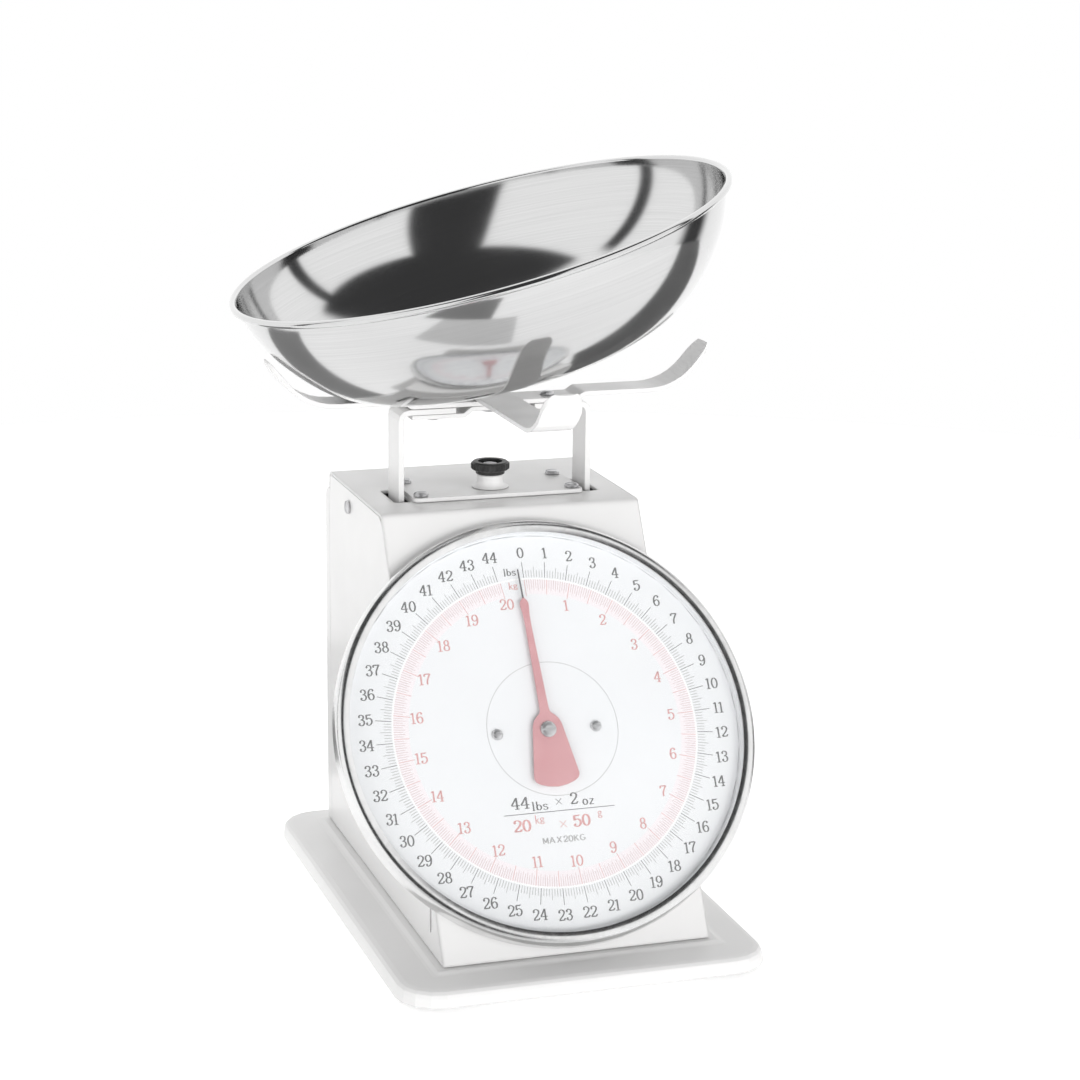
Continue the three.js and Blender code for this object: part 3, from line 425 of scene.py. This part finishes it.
def floor_paint():
    """White floor, lit from within so that it meets the backdrop with no edge."""
    look = Look("floor")
    where = look.place()
    look.color(look.ramp(look.noise(where, 3, 3), [(0.3, grey(0.955)), (0.7, grey(0.97))]))
    look.rough(look.spread(look.noise(where, 20, 3), 0.7, 0.8))
    look.set(Emission_Color=(1, 1, 1, 1), Emission_Strength=0.42)
    return look.material


ENAMEL = enamel()
FOLDED_ENAMEL = enamel("folded_enamel", 0.0025)
STAINLESS = stainless_bowl()
CHROME = chrome()
ZINC = zinc()
SCREW = zinc("screw_metal", 0.62, 0.28, 0.38, 0.04)
# Near-black steel for the inner frame: painted shade, so that the slots in the casing top read dark.
SLOT_SHADE_STEEL = zinc("slot_shade_steel", 0.12, 0.45, 0.6, 0.02)
BRASS = brass()
WIRE = spring_wire()
BLACK = black_plastic()
RUBBER = rubber()
PAPER = dial_paper()
BLACK_INK = ink("black_ink", grey(0.12), grey(0.16))
GREY_INK = ink("grey_ink", grey(0.36), grey(0.42))
RED_INK = ink("red_ink", (0.60, 0.31, 0.30), (0.66, 0.36, 0.35))
TINT_INK = ink("tint_ink", (0.80, 0.75, 0.768), (0.82, 0.77, 0.788))
FADED_INK = ink("faded_ink", (0.56, 0.42, 0.43), (0.62, 0.48, 0.49))
WHITE_INK = ink("white_ink", grey(0.84), grey(0.88))
RED = red_enamel()
GLASS = clear_glass()
DARK_CARD = card_paint("dark_card", 0.13)
GREY_CARD = card_paint("grey_card", 0.30)
PALE_CARD = card_paint("pale_card", 0.92)

SLOT_LOOKS = {
    "painted_steel": ENAMEL,
    "zinc_plate": ZINC,
    "screw_metal": SCREW,
    "spring_steel": WIRE,
    "gear_brass": BRASS,
    "black_plastic": BLACK,
    "dial_print": PAPER,
    "dial_glass": GLASS,
    "bezel_chrome": CHROME,
    "pointer_red": RED,
    "foot_rubber": RUBBER,
    "pan_steel": STAINLESS,
}
for row in RECORD["subparts"]:
    node = NODES[row["node"]]
    node.data.materials.clear()
    node.data.materials.append(SLOT_LOOKS[row["material_slot"]])
NODES["front_cover"].data.materials[0] = FOLDED_ENAMEL
# Painted shade: the inner frame, seen through the slots in the casing top, is made near-black so that the
# slots look shaded.
NODES["inner_frame"].data.materials[0] = SLOT_SHADE_STEEL


# ---------- bowl ----------
def bowl():
    """The spun bowl with its rolled rim, in the tipped pose of the frame."""
    depth, wall, flat = 62 * MM, 125 * MM, 72 * MM
    sheet, bead = 0.8 * MM, RIM_BEAD
    power = 2 / 1.65  # how full the wall's curve is; 1 would make it an ellipse
    outer, inner = [], []
    steps = 40
    for step in range(steps + 1):
        angle = math.pi / 2 * step / steps
        radius = flat + (wall - flat) * math.cos(angle) ** power
        down = depth * math.sin(angle) ** power
        outer.append((radius, -down))
        inner.append((radius - sheet, -min(down, depth - sheet)))
    outer[0] = (wall, -bead)
    inner[0] = (wall - sheet, -bead * 1.2)
    middle = RIM_RADIUS - bead
    rolled = []
    for step in range(15):
        angle = math.radians(195 - step * 24)
        rolled.append((middle + bead * math.cos(angle), -bead + bead * math.sin(angle)))
    outline = [(0, -depth), (flat * 0.5, -depth)] + outer[::-1] + rolled[::-1][:-1] + inner
    outline += [(flat * 0.5, -depth + sheet), (0, -depth + sheet)]
    piece = lathe("bowl_shell", outline, STAINLESS, 192, 50)
    piece.data.transform(BOWL_PLACE)
    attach(piece, "bowl")
    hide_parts("pan")


def knob_boss():
    """The painted boss under the zero knob, drawn out of the plate with a swept foot."""
    low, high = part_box("knob_bushing")
    reach = (high.x - low.x) / 2 - 1.6 * MM
    tall = high.z - low.z
    neck = 6.6 * MM
    outline = [(0, 0), (reach, 0)]
    for step in range(13):
        share = step / 12
        outline.append((neck + (reach - neck) * (1 - share) ** 6, tall * (0.03 + 0.90 * share)))
    outline += [(neck - 0.3 * MM, tall * 0.98), (neck - 0.8 * MM, tall), (0, tall)]
    piece = lathe("knob_boss", outline, ENAMEL, 96, 50)
    piece.matrix_world = Matrix.Translation(((low.x + high.x) / 2, (low.y + high.y) / 2, low.z))
    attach(piece, "casing")
    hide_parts("knob_bushing")


# ---------- dial ----------
def on_dial(piece, body="casing"):
    """Sets a piece built flat (x right, y up the dial, z out of it) on the sloping dial."""
    piece.matrix_world = DIAL_PLACE
    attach(piece, body)


def bezel_ring():
    """The rolled ring round the lens."""
    outline = [
        (103.8, 0.3), (105.0, 0.3), (105.0, 5.6), (104.85, 6.8), (104.4, 7.9), (103.7, 8.8),
        (102.7, 9.3), (101.6, 9.5), (100.4, 9.4), (99.2, 9.15), (98.6, 8.95), (98.5, 8.75),
        (98.7, 8.6), (102.0, 8.6), (103.2, 7.8), (103.8, 6.4),
    ]
    ring = lathe("bezel_ring", [(r * MM, z * MM) for r, z in outline], CHROME, 192, 40)
    on_dial(ring)
    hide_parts("bezel")


def dial_wall():
    """The dial plate's upturned white rim, which fills the gap to the case's wall."""
    outline = [(98.25, 1.65), (99.2, 1.65), (99.2, 7.0), (98.95, 7.0), (98.95, 2.6), (98.25, 2.6)]
    wall = lathe("dial_wall", [(r * MM, z * MM) for r, z in outline], PAPER, 192, 40)
    on_dial(wall)


def smooth_line(points, closed=False, steps=6):
    """A Catmull-Rom curve through points, as a list of points."""
    count = len(points)
    curve = []
    spans = count if closed else count - 1
    for i in range(spans):
        if closed:
            p = [points[(i + k) % count] for k in (-1, 0, 1, 2)]
        else:
            p = [points[min(max(i + k, 0), count - 1)] for k in (-1, 0, 1, 2)]
        for step in range(steps):
            t = step / steps
            curve.append(
                tuple(
                    0.5 * (
                        2 * p[1][a]
                        + (p[2][a] - p[0][a]) * t
                        + (2 * p[0][a] - 5 * p[1][a] + 4 * p[2][a] - p[3][a]) * t * t
                        + (3 * p[1][a] - p[0][a] - 3 * p[2][a] + p[3][a]) * t ** 3
                    )
                    for a in (0, 1)
                )
            )
    if not closed:
        curve.append(tuple(points[-1]))
    return curve


class Print:
    """Flat printed marks, gathered into one mesh a hair above the dial plate."""

    def __init__(self, height):
        self.height = height * MM
        self.vertices, self.faces = [], []

    def shape(self, points):
        start = len(self.vertices)
        self.vertices += [(x * MM, y * MM, self.height) for x, y in points]
        self.faces.append(tuple(range(start, start + len(points))))

    def band(self, radius_in, radius_out, start=0.0, end=360.0, steps=180, middle=(0.0, 0.0)):
        base = len(self.vertices)
        for step in range(steps + 1):
            angle = math.radians(90 - start - (end - start) * step / steps)
            for radius in (radius_in, radius_out):
                x, y = middle[0] + radius * math.cos(angle), middle[1] + radius * math.sin(angle)
                self.vertices.append((x * MM, y * MM, self.height))
        for step in range(steps):
            a = base + 2 * step
            self.faces.append((a, a + 1, a + 3, a + 2))

    def tick(self, degrees, radius_in, radius_out, width):
        angle = math.radians(90 - degrees)
        out = Vector((math.cos(angle), math.sin(angle)))
        side = Vector((-out.y, out.x)) * width / 2
        near, far = out * radius_in, out * radius_out
        self.shape([near + side, near - side, far - side, far + side])

    def stroke(self, points, nib, place):
        """A pen stroke through points with a nib (half width, half height), moved by place(x, y)."""
        wide, tall = nib
        left, right = [], []
        for i, (x, y) in enumerate(points):
            ax, ay = points[max(i - 1, 0)]
            bx, by = points[min(i + 1, len(points) - 1)]
            run = math.hypot(bx - ax, by - ay) or 1
            nx, ny = -(by - ay) / run, (bx - ax) / run
            share = math.sqrt((wide * nx) ** 2 + (tall * ny) ** 2)
            dx, dy = wide * wide * nx / share, tall * tall * ny / share
            left.append(place(x + dx, y + dy))
            right.append(place(x - dx, y - dy))
        for i in range(len(points) - 1):
            self.shape([left[i], right[i], right[i + 1], left[i + 1]])

    def dot(self, x, y, radius, place):
        self.shape([
            place(x + radius * math.cos(math.pi * k / 6), y + radius * math.sin(math.pi * k / 6))
            for k in range(12)
        ])

    def piece(self, name, material):
        made = add_mesh(name, self.vertices, self.faces, material)
        on_dial(made)


def ellipse(cx, cy, rx, ry, start=0, end=360, steps=20):
    """Points round an ellipse, anticlockwise from its right-hand end."""
    points = []
    for step in range(steps + 1):
        angle = math.radians(start + (end - start) * step / steps)
        points.append((cx + rx * math.cos(angle), cy + ry * math.sin(angle)))
    return points


# Each sign of the generic numerals: strokes, then dots (x, y, radius), then how much room it takes.
# A sign is 1 high about its own middle.
FIGURES = {
    "0": ([ellipse(0, 0, 0.20, 0.455)], [], 0.56),
    "1": (
        [[(0.0, 0.46), (0.0, -0.46)], [(-0.01, 0.44), (-0.15, 0.32)], [(-0.15, -0.47), (0.15, -0.47)]],
        [],
        0.40,
    ),
    "2": (
        [
            smooth_line([
                (-0.18, 0.26), (-0.12, 0.42), (0.02, 0.465), (0.17, 0.36), (0.18, 0.17),
                (0.06, -0.06), (-0.10, -0.25), (-0.20, -0.42),
            ]),
            [(-0.20, -0.43), (0.14, -0.43), (0.22, -0.26)],
            [(-0.19, -0.40), (0.15, -0.40)],
        ],
        [(-0.15, 0.26, 0.075)],
        0.54,
    ),
    "3": (
        [
            smooth_line([
                (-0.17, 0.30), (-0.10, 0.43), (0.02, 0.465), (0.15, 0.36), (0.14, 0.15),
                (0.0, 0.04), (-0.04, 0.04),
            ]),
            smooth_line([
                (-0.02, 0.04), (0.13, -0.02), (0.19, -0.22), (0.10, -0.42), (-0.02, -0.465),
                (-0.15, -0.40), (-0.19, -0.29),
            ]),
        ],
        [(-0.14, 0.29, 0.07), (-0.15, -0.28, 0.075)],
        0.54,
    ),
    "4": (
        [
            [(0.08, 0.46), (0.08, -0.46)],
            [(0.08, 0.46), (-0.24, -0.17)],
            [(-0.25, -0.19), (0.24, -0.19)],
            [(-0.06, -0.47), (0.21, -0.47)],
        ],
        [],
        0.58,
    ),
    "5": (
        [
            [(-0.16, 0.43), (0.14, 0.43), (0.17, 0.47)],
            [(-0.155, 0.40), (0.13, 0.40)],
            [(-0.155, 0.44), (-0.165, 0.04)],
            smooth_line([
                (-0.165, 0.04), (-0.05, 0.13), (0.09, 0.11), (0.19, -0.05), (0.18, -0.26),
                (0.07, -0.43), (-0.05, -0.465), (-0.16, -0.40), (-0.19, -0.29),
            ]),
        ],
        [(-0.15, -0.28, 0.075)],
        0.54,
    ),
    "6": (
        [
            smooth_line([
                (0.17, 0.33), (0.11, 0.44), (0.0, 0.46), (-0.13, 0.32), (-0.19, 0.05),
                (-0.19, -0.18), (-0.11, -0.41), (0.0, -0.465), (0.13, -0.40), (0.19, -0.20),
                (0.14, 0.0), (0.02, 0.08), (-0.12, 0.0), (-0.18, -0.14),
            ]),
        ],
        [(0.14, 0.32, 0.065)],
        0.56,
    ),
    "7": (
        [
            [(-0.18, 0.42), (0.21, 0.42)],
            [(-0.19, 0.45), (0.20, 0.45)],
            [(-0.20, 0.44), (-0.21, 0.24)],
            smooth_line([(0.21, 0.44), (0.06, 0.12), (-0.02, -0.12), (-0.04, -0.30), (-0.03, -0.45)]),
        ],
        [(-0.035, -0.41, 0.07)],
        0.54,
    ),
    "8": ([ellipse(0, 0.235, 0.15, 0.225), ellipse(0, -0.225, 0.19, 0.24)], [], 0.56),
    "x": ([[(-0.20, -0.20), (0.20, 0.20)], [(-0.20, 0.20), (0.20, -0.20)]], [], 0.62),
    "l": (
        [[(0.0, 0.46), (0.0, -0.46)], [(-0.08, 0.44), (0.0, 0.44)], [(-0.09, -0.46), (0.09, -0.46)]],
        [],
        0.30,
    ),
    "b": ([[(-0.13, 0.46), (-0.13, -0.44)], ellipse(0.0, -0.18, 0.15, 0.27)], [], 0.46),
    "s": (
        [
            smooth_line([
                (0.13, -0.01), (0.05, 0.09), (-0.07, 0.09), (-0.13, -0.02), (-0.06, -0.13),
                (0.07, -0.20), (0.14, -0.31), (0.07, -0.44), (-0.06, -0.455), (-0.15, -0.36),
            ]),
        ],
        [],
        0.42,
    ),
    "k": (
        [[(-0.13, 0.46), (-0.13, -0.46)], [(0.14, 0.08), (-0.11, -0.16)], [(-0.05, -0.10), (0.16, -0.46)]],
        [],
        0.44,
    ),
    "g": (
        [
            ellipse(-0.01, -0.02, 0.13, 0.14),
            ellipse(0.0, -0.40, 0.16, 0.11),
            [(-0.08, -0.16), (-0.10, -0.28)],
            [(0.10, 0.07), (0.19, 0.11)],
        ],
        [],
        0.44,
    ),
    "o": ([ellipse(0, -0.18, 0.14, 0.27)], [], 0.42),
    "z": (
        [[(-0.12, 0.07), (0.13, 0.07)], [(0.13, 0.07), (-0.13, -0.44)], [(-0.13, -0.44), (0.14, -0.44)]],
        [],
        0.40,
    ),
    "M": (
        [
            [(-0.24, -0.46), (-0.24, 0.46)],
            [(-0.24, 0.46), (0, -0.3)],
            [(0, -0.3), (0.24, 0.46)],
            [(0.24, 0.46), (0.24, -0.46)],
        ],
        [],
        0.72,
    ),
    "A": (
        [[(-0.26, -0.46), (0, 0.46)], [(0, 0.46), (0.26, -0.46)], [(-0.17, -0.14), (0.17, -0.14)]],
        [],
        0.68,
    ),
    "X": ([[(-0.22, 0.46), (0.22, -0.46)], [(-0.22, -0.46), (0.22, 0.46)]], [], 0.86),
    "K": (
        [[(-0.2, 0.46), (-0.2, -0.46)], [(0.2, 0.46), (-0.2, -0.06)], [(-0.08, 0.08), (0.22, -0.46)]],
        [],
        0.64,
    ),
    "G": (
        [
            ellipse(0.02, 0, 0.26, 0.44, 50, 330),
            [(0.06, -0.05), (0.26, -0.05)],
            [(0.26, -0.05), (0.26, -0.30)],
        ],
        [],
        0.7,
    ),
}
FIGURES["9"] = (
    [[(-x, -y) for x, y in stroke] for stroke in FIGURES["6"][0]],
    [(-x, -y, r) for x, y, r in FIGURES["6"][1]],
    0.56,
)


def write(marks, text, centre, height, nib=(0.062, 0.036), stretch=1.22):
    """Prints an upright row of signs about a centre, in dial millimetres."""
    widths = [FIGURES[sign][2] * stretch for sign in text]
    across = -sum(widths) / 2
    for sign, width in zip(text, widths):
        middle = across + width / 2
        across += width

        def place(x, y):
            return (centre[0] + (x * stretch + middle) * height, centre[1] + y * height)

        strokes, dots, _ = FIGURES[sign]
        for stroke in strokes:
            marks.stroke(stroke, nib, place)
        for x, y, radius in dots:
            marks.dot(x, y, radius, place)


def polar(degrees, radius):
    """The point at a clockwise turn from the top of the dial."""
    angle = math.radians(90 - degrees)
    return (radius * math.cos(angle), radius * math.sin(angle))


def dial_print():
    """Generic scales: 0 to 44 pounds outside in black and 0 to 20 kilograms inside in red."""
    tint = Print(FACE_HEIGHT + 0.02)
    tint.band(TINT_IN, LINE_IN, 0.6, 20 * KILO)
    tint.piece("dial_tint_band", TINT_INK)

    line = Print(FACE_HEIGHT + 0.03)
    line.band(LINE_IN, LINE_OUT)
    line.piece("dial_white_line", WHITE_INK)

    thin = Print(FACE_HEIGHT + 0.03)
    thin.band(32.9, 33.15, middle=(3.2, 0.9))
    for pound in range(44):
        for eighth in range(1, 8):
            reach = 82.4 if eighth == 4 else 80.6
            thin.tick((pound + eighth / 8) * POUND, 77.0, reach, 0.31)
    write(thin, "MAX20KG", (0.5, -53.3), 3.1, (0.075, 0.06), 1.5)
    thin.piece("dial_fine_marks", GREY_INK)

    fine = Print(FACE_HEIGHT + 0.035)
    for kilo in range(20):
        for part in range(1, 20):
            if part != 10:
                fine.tick((kilo + part / 20) * KILO, 71.3 if part % 2 else 70.2, LINE_IN, 0.25)
    fine.piece("dial_fine_red_marks", FADED_INK)

    black = Print(FACE_HEIGHT + 0.04)
    for pound in range(45):
        degrees = pound * POUND
        black.tick(degrees, 76.9, 84.8, 0.32)
        write(black, str(pound), polar(degrees, POUND_NUMBERS), NUMBER_HEIGHT)
    write(black, "lbs", (-6.9, 80.2), 3.9, (0.05, 0.04), 1.45)
    write(black, "44", (-18.6, -34.0), 5.9, (0.055, 0.036), 1.42)
    write(black, "lbs", (-9.1, -36.1), 4.6, (0.05, 0.035), 1.6)
    write(black, "x", (0.6, -35.0), 7.2, (0.02, 0.02), 1.0)
    write(black, "2", (8.4, -34.2), 5.9, (0.06, 0.036), 1.3)
    write(black, "oz", (15.4, -35.5), 5.0, (0.05, 0.035), 1.55)
    black.shape([(-27.4, -39.65), (28.3, -39.65), (28.3, -39.30), (-27.4, -39.30)])
    black.piece("dial_black_numbers", BLACK_INK)

    red = Print(FACE_HEIGHT + 0.04)
    for kilo in range(20):
        red.tick(kilo * KILO, 67.6, LINE_IN, 0.28)
        red.tick((kilo + 0.5) * KILO, TINT_IN, LINE_IN, 0.26)
        if kilo:
            write(red, str(kilo), polar(kilo * KILO, KILO_NUMBERS), NUMBER_HEIGHT)
    red.tick(20 * KILO, 67.6, LINE_IN, 0.28)
    write(red, "20", polar(20 * KILO, KILO_NUMBERS + 0.5), NUMBER_HEIGHT)
    write(red, "kg", (-6.1, 73.2), 3.9, (0.05, 0.04), 1.35)
    write(red, "20", (-19.2, -45.1), 6.0, (0.075, 0.036), 1.36)
    write(red, "kg", (-10.2, -42.6), 4.6, (0.045, 0.035), 1.2)
    write(red, "x", (1.2, -46.0), 8.0, (0.018, 0.018), 1.0)
    write(red, "50", (10.7, -45.1), 6.0, (0.075, 0.036), 1.36)
    write(red, "g", (20.2, -42.2), 5.0, (0.045, 0.035), 1.1)
    red.piece("dial_red_numbers", RED_INK)


def pointer_blade():
    """The red pointer: a needle with an arrow bead, a long fine tip and a fan-shaped counterweight."""
    right = [
        (0, -28.2), (5, -27.5), (8.6, -26.3), (10.6, -25.0), (11.5, -23.2), (11.2, -20.8),
        (7.7, 0.4), (7.3, 2.6), (6.3, 5.0), (4.6, 6.9), (3.0, 8.2), (2.4, 9.6), (2.25, 12),
        (1.55, 52), (1.65, 58), (2.0, 60.6), (2.2, 62.2), (2.15, 63.6), (1.6, 64.9), (0.75, 65.8),
        (0.42, 66.4), (0.32, 80.8),
    ]
    outline = right + [(-x, y) for x, y in right[1:]][::-1]
    turn = math.radians(POINTER_REST)
    low, high = 4.6 * MM, 5.3 * MM
    points = [
        (
            (x * math.cos(turn) - y * math.sin(turn)) * MM,
            (x * math.sin(turn) + y * math.cos(turn)) * MM,
        )
        for x, y in outline
    ]
    count = len(points)
    vertices = [(x, y, low) for x, y in points] + [(x, y, high) for x, y in points]
    faces = [tuple(range(count))[::-1], tuple(range(count, 2 * count))]
    for i in range(count):
        after = (i + 1) % count
        faces.append((i, after, count + after, count + i))
    blade = face_out(add_mesh("pointer_blade", vertices, faces, RED))
    bevel(blade, 0.12 * MM, 2, 50)
    on_dial(blade, "pointer_works")
    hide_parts("pointer")


# ---------- stage ----------
def floor():
    """A round pale floor; the backdrop beyond it is the same white."""
    sides, reach = 96, 1.25
    rim = [
        (reach * math.cos(2 * math.pi * side / sides), reach * math.sin(2 * math.pi * side / sides), 0)
        for side in range(sides)
    ]
    add_mesh("floor", rim, [tuple(range(sides))], floor_paint())


def studio_world():
    """A white backdrop all round. The light comes from a bright room with a dark ceiling over the front
    and four dark gaps between its panels."""
    world = bpy.data.worlds.new("studio")
    bpy.context.scene.world = world
    world.use_nodes = True
    tree = world.node_tree

    def join(a, b):
        tree.links.new(a, b)

    def math_node(operation, a, b=None):
        made = tree.nodes.new("ShaderNodeMath")
        made.operation = operation
        for socket, value in zip(made.inputs, (a, b)):
            if isinstance(value, (int, float)):
                socket.default_value = value
            elif value is not None:
                join(value, socket)
        return made.outputs["Value"]

    def window(value, low, high, soft):
        """1 between low and high, 0 outside, with soft edges."""
        made = []
        for start, end in ((low - soft, low + soft), (high + soft, high - soft)):
            step = tree.nodes.new("ShaderNodeMapRange")
            step.interpolation_type = "SMOOTHSTEP"
            step.inputs["From Min"].default_value = start
            step.inputs["From Max"].default_value = end
            join(value, step.inputs["Value"])
            made.append(step.outputs["Result"])
        return math_node("MULTIPLY", *made)

    coordinates = tree.nodes.new("ShaderNodeTexCoord")
    apart = tree.nodes.new("ShaderNodeSeparateXYZ")
    join(coordinates.outputs["Generated"], apart.inputs["Vector"])
    x, y, z = (apart.outputs[axis] for axis in "XYZ")
    azimuth = math_node("MULTIPLY", math_node("ARCTAN2", x, math_node("MULTIPLY", y, -1.0)), 180 / math.pi)

    ceiling = math_node("MULTIPLY", window(z, 0.72, 2.0, 0.02), window(y, -2.0, 0.12, 0.06))
    # Each gap: from and to an azimuth, in degrees from the front, its soft edge, and from and to a height.
    gaps = [
        math_node("MULTIPLY", window(azimuth, west, east, soft), window(z, low, high, 0.05))
        for west, east, soft, low, high in (
            (-31, 13, 2, -0.15, 2.0),
            (80, 89, 1.5, -0.1, 2.0),
            (-112, -104, 1.5, -0.3, 0.6),
            (93, 112, 5, -0.9, 0.1),
        )
    ]
    dark = ceiling
    for gap in gaps:
        dark = math_node("MAXIMUM", dark, gap)

    room = tree.nodes.new("ShaderNodeValToRGB")
    room.color_ramp.elements[0].color = (1.0, 1.0, 1.0, 1)
    room.color_ramp.elements[1].color = (DARK_ROOM, DARK_ROOM, DARK_ROOM + 0.001, 1)
    join(dark, room.inputs["Fac"])

    lit = tree.nodes["Background"]
    join(room.outputs["Color"], lit.inputs["Color"])
    lit.inputs["Strength"].default_value = ROOM_LIGHT
    backdrop = tree.nodes.new("ShaderNodeBackground")
    backdrop.inputs["Color"].default_value = (1, 1, 1, 1)
    backdrop.inputs["Strength"].default_value = 1.0
    path = tree.nodes.new("ShaderNodeLightPath")
    mix = tree.nodes.new("ShaderNodeMixShader")
    join(path.outputs["Is Camera Ray"], mix.inputs["Fac"])
    join(lit.outputs["Background"], mix.inputs[1])
    join(backdrop.outputs["Background"], mix.inputs[2])
    join(mix.outputs["Shader"], tree.nodes["World Output"].inputs["Surface"])


def softbox(name, azimuth, elevation, distance, size, power):
    """A soft fill light that metal doesn't mirror, at an azimuth from the front and an elevation."""
    turn, rise = math.radians(azimuth), math.radians(elevation)
    way = Vector((math.sin(turn) * math.cos(rise), -math.cos(turn) * math.cos(rise), math.sin(rise)))
    target = Vector((0, 0, 0.25))
    data = bpy.data.lights.new(name, "AREA")
    data.shape = "RECTANGLE"
    data.size, data.size_y = size
    data.energy = power
    light = bpy.data.objects.new(name, data)
    bpy.context.scene.collection.objects.link(light)
    place = Matrix.Translation(target + way * distance)
    light.matrix_world = place @ (-way).to_track_quat("-Z", "Y").to_matrix().to_4x4()
    light.visible_glossy = False


CARD_HEIGHT = 0.003


def card(name, low, high, material):
    """A grey card lying by the object, which only polished metal sees: it draws the bowl's dark edges."""
    corners = [(low[0], low[1]), (high[0], low[1]), (high[0], high[1]), (low[0], high[1])]
    sheet = add_mesh(name, [(x, y, CARD_HEIGHT) for x, y in corners], [(0, 1, 2, 3)], material)
    sheet.visible_camera = False
    sheet.visible_diffuse = False
    sheet.visible_shadow = False
    sheet.visible_transmission = False


def camera():
    """The camera, a little above the object and to its left."""
    data = bpy.data.cameras.new("camera")
    data.lens = CAMERA_LENS
    data.sensor_width = 36
    data.clip_end = 50
    eye = bpy.data.objects.new("camera", data)
    bpy.context.scene.collection.objects.link(eye)
    forward = Vector(CAMERA_FORWARD).normalized()
    right = forward.cross(Vector((0, 0, 1))).normalized()
    up = right.cross(forward)
    roll = math.radians(CAMERA_ROLL)
    across = right * math.cos(roll) + up * math.sin(roll)
    above = up * math.cos(roll) - right * math.sin(roll)
    turn = Matrix((across, above, -forward)).transposed().to_4x4()
    eye.matrix_world = Matrix.Translation(CAMERA_PLACE) @ turn
    bpy.context.scene.camera = eye


bowl()
knob_boss()
bezel_ring()
dial_wall()
dial_print()
pointer_blade()
floor()
studio_world()
softbox("front_fill", 5, 1, 2.6, (2.4, 0.8), 44)
softbox("left_fill", -70, 4, 2.4, (1.6, 1.0), 3)
card("right_card", (0.20, 0.02), (1.25, 0.42), DARK_CARD)
# Painted shade: the back card stands in for the shade on the floor behind the object, seen only in the
# bowl's reflection.
card("back_shade_card", (-0.42, 0.19), (0.36, 0.46), GREY_CARD)
card("front_card", (-0.27, -0.58), (-0.03, -0.33), GREY_CARD)
card("near_card", (-0.19, -0.33), (0.05, -0.17), PALE_CARD)
camera()
bpy.context.scene.view_settings.view_transform = "Standard"
